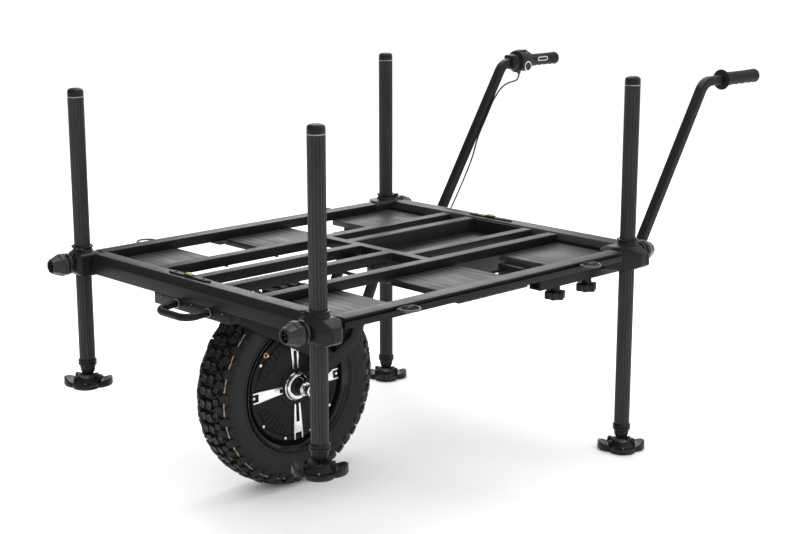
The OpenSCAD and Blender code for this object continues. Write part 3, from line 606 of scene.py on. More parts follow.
class BARROW_OT_levels(bpy.types.Operator):
    """Model the two spirit levels on the rails"""
    bl_idname = "barrow.levels"
    bl_label = "Spirit levels"

    def execute(self, context):
        self.brackets()
        low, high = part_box("level_vials")
        vials, marks, bubbles = [], [], []
        for y in (low.y + 4 * MM, high.y - 4 * MM):
            centre = Vector(((low.x + high.x) / 2, y, (low.z + high.z) / 2))
            vials.append(lathe("vial", mm((0, -10), (3.2, -9.6), (4, -8), (4, 8), (3.2, 9.6), (0, 10)),
                               centre, "X", 24))
            for shift in (-3.2 * MM, 3.2 * MM):
                marks.append(lathe("mark", mm((4.02, -0.25), (4.2, -0.25), (4.2, 0.25), (4.02, 0.25),
                                              (4.02, -0.25)), centre + Vector((shift, 0, 0)), "X", 24))
            bubble = ball("bubble", 2.2 * MM, ORIGIN, 8)
            bubbles.append(settle(bubble, Matrix.Translation(centre + Vector((0.6 * MM, 0, 2.5 * MM)))))
        finished(joined("level_vial_tubes", vials), "deck", FINISHES["vial"], ["level_vials"])
        finished(joined("level_marks", marks), "deck", FINISHES["cable"])
        finished(joined("level_bubbles", bubbles), "deck", FINISHES["polished"])
        return {"FINISHED"}

    def brackets(self):
        """Flat bars with pointed ends, each with a raised holder round its vial."""
        low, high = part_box("level_brackets")
        vial_low, vial_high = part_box("level_vials")
        wide = 14 * MM
        centre = (low.x + high.x) / 2
        length = (high.x - low.x) / 2
        outline = [(-length, -1.5 * MM), (-length + 12 * MM, -wide / 2), (length - 12 * MM, -wide / 2),
                   (length, -1.5 * MM), (length, 1.5 * MM), (length - 12 * MM, wide / 2),
                   (-length + 12 * MM, wide / 2), (-length, 1.5 * MM)]
        bars = []
        for y in (vial_low.y + 4 * MM, vial_high.y - 4 * MM):
            bars.append(softened(slab("level_bar", outline, 3.2 * MM,
                                      Matrix.Translation((centre, y, low.z))), 0.8 * MM, 3))
            holder = block("level_holder", (centre - 19 * MM, y - 5.6 * MM, low.z + 1 * MM),
                           (centre + 19 * MM, y + 5.6 * MM, high.z))
            for side in (-1, 1):
                trimmed(holder, (centre + side * 12 * MM, y, high.z), (side * 0.6, 0, 0.8))
                trimmed(holder, (centre, y + side * 4 * MM, high.z), (0, side * 0.8, 0.6))
            softened(holder, 0.8 * MM, 3)
            window = block("window", (centre - 10.4 * MM, y - 4.3 * MM, high.z - 7 * MM),
                           (centre + 10.4 * MM, y + 4.3 * MM, high.z + 5 * MM))
            bars.append(cut(holder, window))
            for side in (-1, 1):
                bars.append(lathe("level_screw", mm((0, 3), (3, 3), (3, 3.8), (2, 4.6), (1, 4.6),
                                                    (0.8, 4), (0, 4)),
                                  (centre + side * 48 * MM, y, low.z), "Z", 20))
        brackets = joined("level_bracket_set", bars)
        finished(brackets, "deck", FINISHES["frame"], ["level_brackets"], 30)


# ---- Clamps and knobs ----

def leg_place(corner):
    """The place of a leg's axis, at the deck's height."""
    centre = middle("leg_" + corner)
    return Vector((centre.x, centre.y, 0))


class BARROW_OT_clamps(bpy.types.Operator):
    """Model the four leg clamps with their collars, serrations and screws"""
    bl_idname = "barrow.clamps"
    bl_label = "Leg clamps"

    def execute(self, context):
        for corner in CORNERS:
            self.clamp(corner)
        return {"FINISHED"}

    def clamp(self, corner):
        node = "clamp_" + corner
        axis = leg_place(corner)
        low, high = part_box(node)
        side = 1 if "right" in corner else -1
        front = -1 if "front" in corner else 1
        bottom, top = low.z, 4 * MM

        def out(reach):
            return axis.x + side * reach * MM

        def ahead(reach):
            return axis.y + front * reach * MM

        knob_face = (high.y - axis.y) / MM if front > 0 else (axis.y - low.y) / MM
        tail = (axis.y - low.y) / MM if front > 0 else (high.y - axis.y) / MM
        xs, ys = sorted((out(-32), out(52))), sorted((ahead(-tail), ahead(knob_face)))
        body = block(node + "_body", (xs[0], ys[0], bottom), (xs[1], ys[1], top))
        # Facets of the casting: a place and the way it faces, outboard, towards the knob and up
        for reach, forward, height, facing in (
                (26, 0, top, (0.50, 0, 0.87)), (52, 17, 0, (0.55, 0.83, 0)), (52, -15, 0, (0.60, -0.80, 0)),
                (0, knob_face - 12, top, (0, 0.60, 0.80)), (0, 14 - tail, top, (0, -0.60, 0.80)),
                (-24, 0, top, (-0.60, 0, 0.80)), (34, 0, bottom, (0.48, 0, -0.88)),
                (34, knob_face, -20 * MM, (0.45, 0.62, 0.64)), (-32, knob_face - 8, 0, (-0.70, 0.70, 0)),
                (0, knob_face, bottom + 10 * MM, (0, 0.62, -0.78))):
            trimmed(body, (out(reach), ahead(forward), height),
                    (side * facing[0], front * facing[1], facing[2]))
        softened(body, 2.4 * MM, 4, 12)

        collar = lathe(node + "_collar", mm((18.4, -6), (30, -6), (27, 1), (24, 5), (21.8, 8.5),
                                            (21.2, 11), (21.8, 12.6), (23.8, 13.2), (24.9, 14.6),
                                            (24.5, 16.3), (23, 17), (19.5, 17), (18.6, 15.6), (18.4, 14),
                                            (18.4, -6)), (axis.x, axis.y, 0))
        bulge = ball(node + "_bulge", 15 * MM, (out(-8), ahead(16), -4 * MM), 14)
        ear = block(node + "_ear", *mm((20, -5.5, 9), (34, 5.5, 17)))
        trimmed(ear, (34 * MM, 0, 13 * MM), (0.7, 0, -0.7))
        for way in (-1, 1):
            trimmed(ear, (34 * MM, way * 2.5 * MM, 0), (0.5, way * 0.87, 0))
        softened(ear, 1.6 * MM, 3, 20)
        pinch = Matrix.Translation((axis.x, axis.y, 0)) @ Matrix.Rotation(
            math.atan2(front * 0.72, -side * 0.69), 4, "Z")
        settle(ear, pinch)
        cut(ear, settle(block("slit", *mm((16, -0.9, 8), (40, 0.9, 20))), pinch))
        for piece in (body, bulge):
            cut(piece, drum("bore", 18.35 * MM, 110 * MM, (axis.x, axis.y, bottom - 10 * MM), "Z", 64))
        body = joined(node + "_casting", [body, collar, bulge, ear])
        finished(body, "deck", FINISHES["clamp"], [node], 35)
        self.serration(node, out(52), ahead(9), side)

        screw = drum("screw", 2.4 * MM, 14 * MM, (28 * MM, -7 * MM, 12.6 * MM), "Y", 6)
        finished(softened(settle(screw, pinch), 0.4 * MM), "deck", FINISHES["wire"])

    def serration(self, node, face, y, side):
        """A row of short upright teeth near the outer corner."""
        teeth = []
        for k in range(7):
            z = -15 * MM - k * 3.6 * MM
            tooth = block("tooth", (min(face, face + side * 1.2 * MM), y - 2 * MM, z - 1.1 * MM),
                          (max(face, face + side * 1.2 * MM), y + 2 * MM, z + 1.1 * MM))
            teeth.append(softened(tooth, 0.4 * MM, 2))
        finished(joined(node + "_serration", teeth), "deck", FINISHES["clamp"])


class BARROW_OT_clamp_knobs(bpy.types.Operator):
    """Model the four faceted clamp knobs"""
    bl_idname = "barrow.clamp_knobs"
    bl_label = "Clamp knobs"

    def execute(self, context):
        model = self.model()
        for corner in CORNERS:
            node = "clamp_knob_" + corner
            low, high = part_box(node)
            front = -1 if "front" in corner else 1
            base = leg_place(corner) + Vector((0, front * 32.3 * MM, (low.z + high.z) / 2))
            turn = Matrix.Rotation(-front * math.pi / 2, 4, "X")
            knob = copy_of(model, node + "_grip", Matrix.Translation(base) @ turn)
            finished(knob, node + "_body", FINISHES["knob"], [node], 30)
        bpy.data.objects.remove(model)
        return {"FINISHED"}

    def model(self):
        """One knob at the origin that stands along +Z."""
        shell = lathe("knob_shell", mm((0, 15), (22.5, 15), (25.8, 18.5), (26.4, 23), (24.4, 31),
                                       (17.2, 50), (15.8, 51.8), (13.4, 51.8), (12.6, 50), (12.2, 37),
                                       (0, 37)), ORIGIN, "Z", 9)
        select(shell, "FACE", lambda f: f.center.xy.length > 17 * MM and 30 * MM < f.center.z < 46 * MM)
        with editing(shell, "FACE"):
            bpy.ops.mesh.inset(thickness=2.2 * MM, depth=-0.9 * MM, use_individual=True)
        softened(shell, 0.9 * MM, 3, 12)
        collar = lathe("knob_collar", mm((0, 0), (17, 0), (17, 5), (22, 6), (24, 8), (24, 12),
                                         (22.5, 13.5), (22.5, 14.5), (25, 15.5), (0, 15.5)), ORIGIN, "Z",
                       48)
        screw = drum("knob_screw", 5 * MM, 12 * MM, (0, 0, -11 * MM), "Z", 24)
        heart = lathe("knob_heart", mm((0, 41), (4, 41), (5, 40), (5, 34), (0, 34)), ORIGIN, "Z", 24)
        ribs = block("knob_rib", *mm((4, -0.8, 36), (13, 0.8, 47)))
        ring_of(ribs, 6, (0, 0, 1))
        return joined("knob_model", [shell, collar, screw, heart, ribs])


# ---- Legs and feet ----

class BARROW_OT_legs(bpy.types.Operator):
    """Model the fluted tubes, their rings and caps, and the foot stems"""
    bl_idname = "barrow.legs"
    bl_label = "Legs"

    def execute(self, context):
        details = context.scene.barrow_details
        for corner in CORNERS:
            self.leg(corner, details)
        return {"FINISHED"}

    def leg(self, corner, details):
        node, body = "leg_" + corner, "leg_" + corner + "_body"
        low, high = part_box(node)
        place = leg_place(corner)
        radius = (high.x - low.x) / 2
        per_flute = 8
        land = 0.1
        count = details.flutes * per_flute
        outline = []
        for k in range(count):
            angle = 2 * math.pi * k / count
            dip = max(0.0, math.cos(details.flutes * angle) - land) / (1 - land)
            reach = radius - details.flute * dip ** 0.6
            outline.append((reach * math.cos(angle), reach * math.sin(angle)))
        tube = slab(node + "_tube", outline, high.z - low.z, Matrix.Translation((place.x, place.y, low.z)))
        finished(tube, body, FINISHES["leg"], [node], 25)

        ring = lathe(node + "_ring", [(radius - 2 * MM, 0), (radius + 0.1 * MM, 0),
                                      (radius + 0.3 * MM, 0.4 * MM), (radius + 0.3 * MM, 1.8 * MM),
                                      (radius + 0.1 * MM, 2.2 * MM), (radius - 2 * MM, 2.2 * MM),
                                      (radius - 2 * MM, 0)], (place.x, place.y, high.z - 2.2 * MM))
        finished(ring, body, FINISHES["band"])

        cap = lathe(node + "_cap", [(0, 0), (radius, 0), (radius, 10 * MM),
                                    (radius - 0.8 * MM, 13.5 * MM), (radius - 3.2 * MM, 16.3 * MM),
                                    (radius - 7 * MM, 17.7 * MM), (0, 18 * MM)],
                    (place.x, place.y, high.z))
        for turn in (0, math.pi / 2):
            slot = block("slot", *mm((-11, -1.2, 14.5), (11, 1.2, 22)))
            settle(slot, Matrix.Translation((place.x, place.y, high.z)) @ Matrix.Rotation(turn, 4, "Z"))
            cut(cap, slot)
        stem = lathe(node + "_stem", mm((0, 4), (18, 4), (19.5, 2), (20.8, 0), (21, -1.5), (20.6, -3),
                                        (18.6, -4), (18.6, -5), (20.6, -6), (21, -8), (20.4, -10.5),
                                        (18.4, -12), (17.4, -16), (16.6, -22), (14.6, -28), (11, -33),
                                        (7, -35.6), (0, -36.8)), (place.x, place.y, low.z))
        finished(joined("leg_ends_" + corner + "_skin", [cap, stem]), body, FINISHES["plastic"],
                 ["leg_ends_" + corner], 35)


class BARROW_OT_feet(bpy.types.Operator):
    """Model the four swivel feet"""
    bl_idname = "barrow.feet"
    bl_label = "Feet"

    facing = math.radians(46)

    def execute(self, context):
        for corner in CORNERS:
            node = "foot_" + corner
            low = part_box(node)[0]
            place = leg_place(corner)
            foot = settle(self.model(node), Matrix.Translation((place.x, place.y, low.z)))
            finished(foot, node + "_body", FINISHES["plastic"], [node], 38)
            screws = []
            for side in (-1, 1):
                screws.append(lathe("screw", mm((0, 0), (2.6, 0), (2.6, 1.4), (1.8, 2.2), (0, 2.2)),
                                    (place.x + side * 24 * MM, place.y - side * 24 * MM,
                                     low.z + 9.6 * MM), "Z", 16))
            finished(joined(node + "_screws", screws), node + "_body", FINISHES["steel"])
        return {"FINISHED"}

    def model(self, name):
        """One foot at the origin that stands on the plane z = 0."""
        pad = lathe(name + "_pad", mm((0, 0), (50, 0), (54, 1.5), (56, 4.5), (55, 8), (51, 10), (44, 9.2),
                                      (38, 8.6), (33, 9.6), (29, 12.5), (26.4, 17), (24.8, 22), (24, 26),
                                      (22.6, 27.6), (21, 26.6), (19.6, 22.5), (16.4, 17.6), (11, 14.2),
                                      (0, 13)), ORIGIN, "Z", 96)
        waist, spread = 28 * MM, 24 * MM
        lip, lip_height = 20 * MM, 7.6 * MM
        for vertex in pad.data.vertices:
            reach = vertex.co.xy.length
            angle = math.atan2(vertex.co.y, vertex.co.x) - self.facing
            if reach > waist:
                lobe = abs(math.cos(2 * angle)) ** 0.6
                share = min(1.0, (reach - waist) / spread)
                scale = 1 - share * 0.26 * (1 - lobe)
                vertex.co.x *= scale
                vertex.co.y *= scale
                if vertex.co.z > 7 * MM:
                    curl = max(0.0, math.cos(2 * angle)) ** 0.7
                    vertex.co.z += share ** 1.6 * lobe * (2 + 10 * curl) * MM
            elif vertex.co.z > lip:
                vertex.co.z -= 7 * MM * math.sin(angle) ** 2 * (vertex.co.z - lip) / lip_height
        horns = []
        for side in (-1, 1):
            for way, tall in ((-1, 27 * MM), (1, 22 * MM)):
                horn = block("horn", (21 * MM, way * 9 * MM - 4.5 * MM, 8 * MM),
                             (31 * MM, way * 9 * MM + 4.5 * MM, tall))
                trimmed(horn, (29 * MM, 0, tall), (0.8, 0, 0.6))
                softened(horn, 2.2 * MM, 3, 20)
                turn = Matrix.Rotation(self.facing + (math.pi if side < 0 else 0), 4, "Z")
                horns.append(settle(horn, turn))
        return joined(name + "_skin", [pad] + horns)


# ---- Wheel ----

def wheel_centre():
    return middle("tyre")


class BARROW_OT_tyre(bpy.types.Operator):
    """Model the knobbly tyre"""
    bl_idname = "barrow.tyre"
    bl_label = "Tyre"

    hair_parts = 14
    hairs_per_part = 14

    def execute(self, context):
        details = context.scene.barrow_details
        centre = wheel_centre()
        low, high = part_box("tyre")
        outer = (high.z - low.z) / 2
        half = (high.x - low.x) / 2
        crown = outer - details.lug
        profile = [(136 * MM, 36 * MM), (143 * MM, 38.2 * MM), (146 * MM, 40 * MM), (149 * MM, 42.5 * MM),
                   (151 * MM, 45 * MM), (153 * MM, 46.2 * MM), (155.5 * MM, 46.2 * MM),
                   (157.5 * MM, 45 * MM), (164 * MM, 46.5 * MM), (176 * MM, 48.4 * MM),
                   (185 * MM, half - 0.7 * MM), (191 * MM, half - 0.9 * MM), (198 * MM, half - 2.6 * MM),
                   (204 * MM, 43.5 * MM), (crown - 7 * MM, 38 * MM), (crown - 2.5 * MM, 30 * MM),
                   (crown - 0.5 * MM, 18 * MM), (crown, 0)]
        outside = profile + [(r, -h) for r, h in reversed(profile[:-1])]
        inside = [(136 * MM, -30 * MM), (186 * MM, -42 * MM), (crown - 12 * MM, -26 * MM),
                  (crown - 12 * MM, 26 * MM), (186 * MM, 42 * MM), (136 * MM, 30 * MM), (136 * MM, 36 * MM)]
        carcass = lathe("tyre_carcass", outside + inside, centre, "X", 120)
        finished(carcass, "wheel", FINISHES["tyre"], ["tyre"], 40)

        lugs = ring_of(self.lugs(details, crown, outer), details.lugs)
        finished(settle(lugs, Matrix.Translation(centre)), "wheel", FINISHES["lug"], angle=30)

        threads = []
        for side in (-1, 1):
            threads.append(lathe("thread", [(crown - 9 * MM, side * 39 * MM),
                                            (crown - 6.4 * MM, side * 39.4 * MM),
                                            (crown - 6.8 * MM, side * 40.8 * MM),
                                            (crown - 9.5 * MM, side * 41.4 * MM),
                                            (crown - 9 * MM, side * 39 * MM)], centre, "X", 160))
        finished(joined("tan_line", threads), "wheel", FINISHES["tan"])

        hairs = ring_of(self.hairs(details, outer, half), self.hair_parts)
        finished(settle(hairs, Matrix.Translation(centre)), "wheel", FINISHES["tyre"])
        return {"FINISHED"}

    def lug(self, x, y, width, length, base, top, lean=0.0, turn=0.0):
        """One block of rubber on the crown: lean tips it over the shoulder."""
        piece = block("lug", (-width / 2, -length / 2, base), (width / 2, length / 2, top))
        select(piece, "FACE", lambda f: f.normal.z > 0.9)
        with editing(piece, "FACE"):
            bpy.ops.transform.resize(value=(0.84, 0.84, 1))
            bpy.ops.mesh.inset(thickness=2.6 * MM, depth=0)
            bpy.ops.mesh.inset(thickness=0.9 * MM, depth=-1.1 * MM)
        softened(piece, 0.9 * MM, 2, 25)
        spin = Matrix.Rotation(turn, 4, "Z")
        root = Matrix.Translation((0, 0, base))
        tip = root @ Matrix.Rotation(lean, 4, "Y") @ root.inverted()
        roll = Matrix.Rotation(-y / base, 4, "X")
        return settle(piece, roll @ Matrix.Translation((x, 0, 0)) @ tip @ spin)

    def stud(self, x, y, reach, radius, height, lean):
        """One round stud on the shoulder with an engraved ring on its face."""
        piece = drum("stud", radius, height, ORIGIN, "Z", 12, 0.84 * radius)
        select(piece, "FACE", lambda f: f.normal.z > 0.9)
        with editing(piece, "FACE"):
            bpy.ops.mesh.inset(thickness=0.22 * radius, depth=0)
            bpy.ops.mesh.inset(thickness=0.8 * MM, depth=-1.0 * MM)
            bpy.ops.mesh.inset(thickness=0.8 * MM, depth=1.0 * MM)
        softened(piece, 0.6 * MM, 2, 25)
        roll = Matrix.Rotation(-y / reach, 4, "X")
        return settle(piece, roll @ Matrix.Translation((x, 0, reach)) @ Matrix.Rotation(lean, 4, "Y"))

    def lugs(self, details, crown, outer):
        """One pitch of the tread: blocks over the crown and round studs down each shoulder."""
        pitch = 2 * math.pi * crown / details.lugs
        base = crown - 5 * MM
        rows = []
        for side in (-1, 1):
            for k in range(2):
                shift = (0.5 * k + 0.25 * side) * pitch
                rows.append(self.lug(side * 10.5 * MM, shift, 18 * MM, 0.36 * pitch, base, outer - k * MM,
                                     turn=side * (0.30 - 0.55 * k)))
                rows.append(self.lug(side * 27 * MM, shift + 0.16 * pitch, 13 * MM, 0.30 * pitch,
                                     base - 1 * MM, outer - 3 * MM, lean=side * 0.20,
                                     turn=side * (0.5 * k - 0.45)))
            rows.append(self.stud(side * 35 * MM, 0.1 * pitch, 203 * MM, 12 * MM, 12.5 * MM, side * 0.95))
            rows.append(self.stud(side * 29 * MM, 0.6 * pitch, 208 * MM, 11 * MM, 12 * MM, side * 0.55))
            rows.append(self.stud(side * 44.5 * MM, 0.6 * pitch, 197.5 * MM, 9 * MM, 5.4 * MM, side * 1.30))
        return joined("tyre_lugs", rows)

    def hairs(self, details, outer, half):
        """Short moulding hairs that stand out of the rubber, for one part of the round."""
        dice = random.Random(7)
        hairs = []
        for k in range(self.hairs_per_part):
            hair = drum("hair", 0.42 * MM, dice.uniform(0.6, 1) * details.hair, ORIGIN, "Z", 4, 0.25 * MM)
            across = dice.uniform(-0.85, 0.85) * half
            root = outer - details.hair - dice.uniform(0, 3) * MM - 9 * MM * (abs(across) / half) ** 2
            tilt = (Matrix.Rotation(dice.uniform(-0.3, 0.3) + across / half * 0.7, 4, "Y")
                    @ Matrix.Rotation(dice.uniform(-0.5, 0.5), 4, "X"))
            share = (k + dice.random()) / self.hairs_per_part
            spin = Matrix.Rotation(2 * math.pi / self.hair_parts * share, 4, "X")
            hairs.append(settle(hair, spin @ Matrix.Translation((across, 0, root)) @ tilt))
        return joined("tyre_hairs", hairs)


class BARROW_OT_wheel(bpy.types.Operator):
    """Model the rim, the motor covers, the spokes, the bolts and the hub"""
    bl_idname = "barrow.wheel"
    bl_label = "Wheel"

    spoke_angle = math.radians(92)

    def execute(self, context):
        centre = wheel_centre()
        self.rim(centre)
        self.covers(centre)
        self.bolts(centre)
        self.spokes(centre)
        self.hub(centre)
        return {"FINISHED"}

    def both_faces(self, name, piece, centre):
        """Copy a piece modelled on the +X face of a wheel at the origin to both faces."""
        other = copy_of(piece, name + "_far", Matrix.Scale(-1, 4, (1, 0, 0)))
        return settle(joined(name, [piece, other]), Matrix.Translation(centre))

    def rim(self, centre):
        face = mm((144, 38.8), (144.2, 41.6), (143.6, 43), (142.2, 43), (140.6, 41.4), (138.6, 38.6),
                  (136.6, 37.6), (134.6, 36), (133, 32), (131.6, 26), (130, 20), (128.5, 16))
        back = mm((144, 38.8), (139.5, 37), (136, 34), (134, 30))
        outline = (list(reversed(face)) + back[1:] + [(r, -h) for r, h in reversed(back)]
                   + [(r, -h) for r, h in face[1:]])
        rim = lathe("rim_barrel", outline + [outline[0]], centre, "X", 120)
        finished(rim, "wheel", FINISHES["gloss"], ["rim"], 35)

    def covers(self, centre):
        """Turned covers with an engraved ring round the hub and four fans of shallow cells."""
        cover = lathe("cover", mm((129, 16), (129, 19), (125, 22), (124.5, 27), (123, 28.6),
                                  (113.6, 28.6), (112.4, 27.2), (111, 28.4), (76, 29.6), (48, 30.6),
                                  (47.2, 29.6), (45, 29.6), (44.2, 30.8), (20, 31), (20, 16), (129, 16)),
                      ORIGIN, "X", 120)
        cells = [self.cell(k) for k in range(-3, 4)]
        fan = settle(joined("fan", cells), Matrix.Rotation(self.spoke_angle + math.pi / 4, 4, "X"))
        cover = joined("cover", [cover, ring_of(fan, 4)])
        finished(self.both_faces("motor_covers", cover, centre), "wheel", FINISHES["motor"], ["hub_motor"],
                 30)

    def cell(self, k):
        """One shallow cell of a fan: a raised rim round a sunken floor."""
        step = math.radians(7.4)
        inner, outer = (78 + 4.5 * abs(k)) * MM, 108 * MM
        turns = [step * (k + share) for share in (-0.47, -0.16, 0.16, 0.47)]
        outline = [(outer * math.sin(a), outer * math.cos(a)) for a in turns]
        outline += [(inner * math.sin(a), inner * math.cos(a)) for a in (turns[-1], turns[0])]
        cell = slab("cell", outline, 2.0 * MM, facing_x(28.2 * MM))
        select(cell, "FACE", lambda f: f.normal.x > 0.9)
        with editing(cell, "FACE"):
            bpy.ops.mesh.inset(thickness=0.7 * MM, depth=0)
            bpy.ops.mesh.inset(thickness=0.4 * MM, depth=-0.9 * MM)
        return softened(cell, 0.2 * MM, 1)

    def bolts(self, centre):
        bolt = lathe("bolt", mm((0, 4), (1.5, 4), (2, 3.2), (3.2, 3), (3.6, 2), (3.6, 0), (0, 0)),
                     (28.5 * MM, 0, 118 * MM), "X", 20)
        bolts = settle(ring_of(bolt, 10), Matrix.Rotation(self.spoke_angle, 4, "X"))
        finished(self.both_faces("rim_bolts", bolts, centre), "wheel", FINISHES["chrome"])

        valve = drum("valve", 4.5 * MM, 12 * MM, (27 * MM, 0, 0), "X", 20, 3.2 * MM)
        nut = drum("valve_nut", 6.5 * MM, 4 * MM, (28 * MM, 0, 0), "X", 6)
        valve = softened(joined("valve", [valve, nut]), 0.6 * MM)
        settle(valve, Matrix.Translation(centre) @ Matrix.Rotation(math.radians(44), 4, "X")
               @ Matrix.Translation((0, 0, 120 * MM)))
        finished(valve, "wheel", FINISHES["copper"])

    def spoke(self, slotted):
        """One tapered spoke that points up on the +X face: two prongs, or a solid blade."""
        inner, outer = 40 * MM, 122 * MM
        thin, wide = 8 * MM, 12.5 * MM
        outline = [(-thin, inner), (-thin * 0.55, inner), (-thin * 0.55, inner + 8 * MM),
                   (thin * 0.55, inner + 8 * MM), (thin * 0.55, inner), (thin, inner),
                   (wide, outer - 16 * MM), (wide, outer), (wide - 3.5 * MM, outer),
                   (wide - 4 * MM, outer - 15 * MM), (-wide + 4 * MM, outer - 15 * MM),
                   (-wide + 3.5 * MM, outer), (-wide, outer), (-wide, outer - 16 * MM)]
        blade = slab("spoke", outline, 4.6 * MM, facing_x(29 * MM))
        if slotted:
            window = slab("window", [(-4.2 * MM, inner - 5 * MM), (4.2 * MM, inner - 5 * MM),
                                     (4.8 * MM, outer - 40 * MM), (-4.8 * MM, outer - 40 * MM)],
                          20 * MM, facing_x(20 * MM))
            cut(blade, window)
        return softened(blade, 0.7 * MM, 2, 30)

    def spokes(self, centre):
        blades = []
        for k, slotted in enumerate((False, True, False, True)):
            blades.append(settle(self.spoke(slotted),
                                 Matrix.Rotation(self.spoke_angle + k * math.pi / 2, 4, "X")))
        finished(self.both_faces("spokes", joined("spoke_set", blades), centre), "wheel",
                 FINISHES["polished"], ["hub_spokes"], 30)

    def hub(self, centre):
        boss = lathe("boss", mm((19, 29), (32, 29), (32, 33), (30, 34.6), (29.6, 38.6), (28.4, 40.8),
                                (25.4, 42), (21.8, 41.6), (19.4, 40), (19, 37), (19, 29)), ORIGIN, "X",
                     72)
        finished(self.both_faces("hub_boss", boss, centre), "wheel", FINISHES["chrome"])
        seal = lathe("seal", mm((8.4, 36), (19, 36), (19, 39.4), (17.4, 41.2), (15.6, 42), (15.2, 46),
                                (13.8, 48), (12.4, 51), (12, 55.4), (8.4, 55.4), (8.4, 36)), ORIGIN, "X",
                     48)
        finished(self.both_faces("hub_seals", seal, centre), "wheel", FINISHES["plastic"])


class BARROW_OT_axle(bpy.types.Operator):
    """Model the axle, its nuts and washers"""
    bl_idname = "barrow.axle"
    bl_label = "Axle"

    def execute(self, context):
        centre = wheel_centre()
        low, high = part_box("axle")
        radius = (high.z - low.z) / 2
        end = high.x - 4 * MM
        axle = lathe("axle_rod", [(0, -end), (radius - 1.5 * MM, -end), (radius, 1.5 * MM - end),
                                  (radius, end - 1.5 * MM), (radius - 1.5 * MM, end), (3 * MM, end),
                                  (2.4 * MM, end - 3 * MM), (0, end - 3 * MM)], (0, centre.y, centre.z),
                     "X", 32)
        finished(axle, "deck", FINISHES["wire"], ["axle"])
        parts = []
        for side in (-1, 1):
            turn = Matrix.Rotation(side * math.pi / 2, 4, "Y")
            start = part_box("fork_plates")[1].x
            parts.append(settle(self.nut(), Matrix.Translation((side * start, centre.y, centre.z)) @ turn))
        finished(joined("axle_nut_set", parts), "deck", FINISHES["chrome"], ["axle_nuts"], 30)
        return {"FINISHED"}

    def nut(self):
        """A washer, a neck and a deep hexagon nut that stand along +Z."""
        washer = lathe("washer", mm((8.3, 0), (15, 0), (15, 1.6), (14.4, 2), (8.3, 2), (8.3, 0)), ORIGIN,
                       "Z", 40)
        neck = lathe("neck", mm((8.3, 1.8), (12.4, 1.8), (12, 3), (11, 4), (11, 8.5), (8.3, 8.5),
                                (8.3, 1.8)), ORIGIN, "Z", 40)
        nut = drum("nut", 13 * MM, 14 * MM, (0, 0, 8 * MM), "Z", 6)
        select(nut, "FACE", lambda f: f.normal.z > 0.9)
        with editing(nut, "FACE"):
            bpy.ops.mesh.inset(thickness=4 * MM, depth=0)
            bpy.ops.mesh.extrude_region_move(TRANSFORM_OT_translate={"value": (0, 0, -5 * MM)})
        return joined("nut", [softened(nut, 0.8 * MM, 3), washer, neck])


# ---- Fork, loop and boxes ----

class BARROW_OT_fork(bpy.types.Operator):
    """Ease the fork, its channel and the boxes under the deck, and model the lift loop"""
    bl_idname = "barrow.fork"
    bl_label = "Fork and underside"

    def execute(self, context):
        for node, edge in (("fork_plates", 1.2), ("front_channel", 1.0), ("battery_tray", 0.8),
                           ("left_receiver", 1.2), ("right_receiver", 1.2)):
            finished(skin_of(node, edge * MM, 2), "deck", FINISHES["frame"], [node])
        finished(skin_of("lift_loop", 0), "deck", FINISHES["frame"], ["lift_loop"], 60)
        for node, edge in (("battery_pack", 5), ("controller_box", 3), ("cable_plugs", 0.8)):
            finished(skin_of(node, edge * MM, 3), "deck", FINISHES["plastic"], [node])
        self.box_ribs()
        self.loop_collars()
        self.channel_screws()
        return {"FINISHED"}

    def loop_collars(self):
        """Bright collars where the lift loop leaves the channel."""
        low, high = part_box("lift_loop")
        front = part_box("front_channel")[0].y
        collars = []
        for x in (low.x + 8 * MM, high.x - 8 * MM):
            collars.append(lathe("collar", mm((8.1, 0), (9.4, 0), (9.8, 0.6), (9.8, 2.2), (9, 3),
                                              (8.1, 3), (8.1, 0)), (x, front - 3 * MM, high.z - 8.5 * MM),
                                 "Y", 36))
        finished(joined("loop_collars", collars), "deck", FINISHES["band"])

    def channel_screws(self):
        """Small screws along the top of the front channel."""
        low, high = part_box("front_channel")
        screws = []
        for k in range(5):
            x = low.x + (k + 0.5) * (high.x - low.x) / 5
            screws.append(lathe("screw", mm((0, 0.5), (2.6, 0.5), (2.6, -0.8), (1.6, -1.8), (0, -1.8)),
                                (x, low.y, high.z - 4.5 * MM), "Y", 16))
        finished(joined("channel_screws", screws), "deck", FINISHES["wire"])

    def box_ribs(self):
        """Cooling ribs under the controller."""
        low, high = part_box("controller_box")
        ribs = []
        for k in range(7):
            x = low.x + (k + 1) * (high.x - low.x) / 8
            ribs.append(block("rib", (x - 1.5 * MM, low.y + 4 * MM, low.z - 5 * MM),
                              (x + 1.5 * MM, high.y - 4 * MM, low.z + 1 * MM)))
        finished(softened(joined("controller_ribs", ribs), 0.5 * MM), "deck", FINISHES["plastic"])


# ---- Handles ----

HANDLE_LOW = -56 * MM
HANDLE_HIGH = 345 * MM


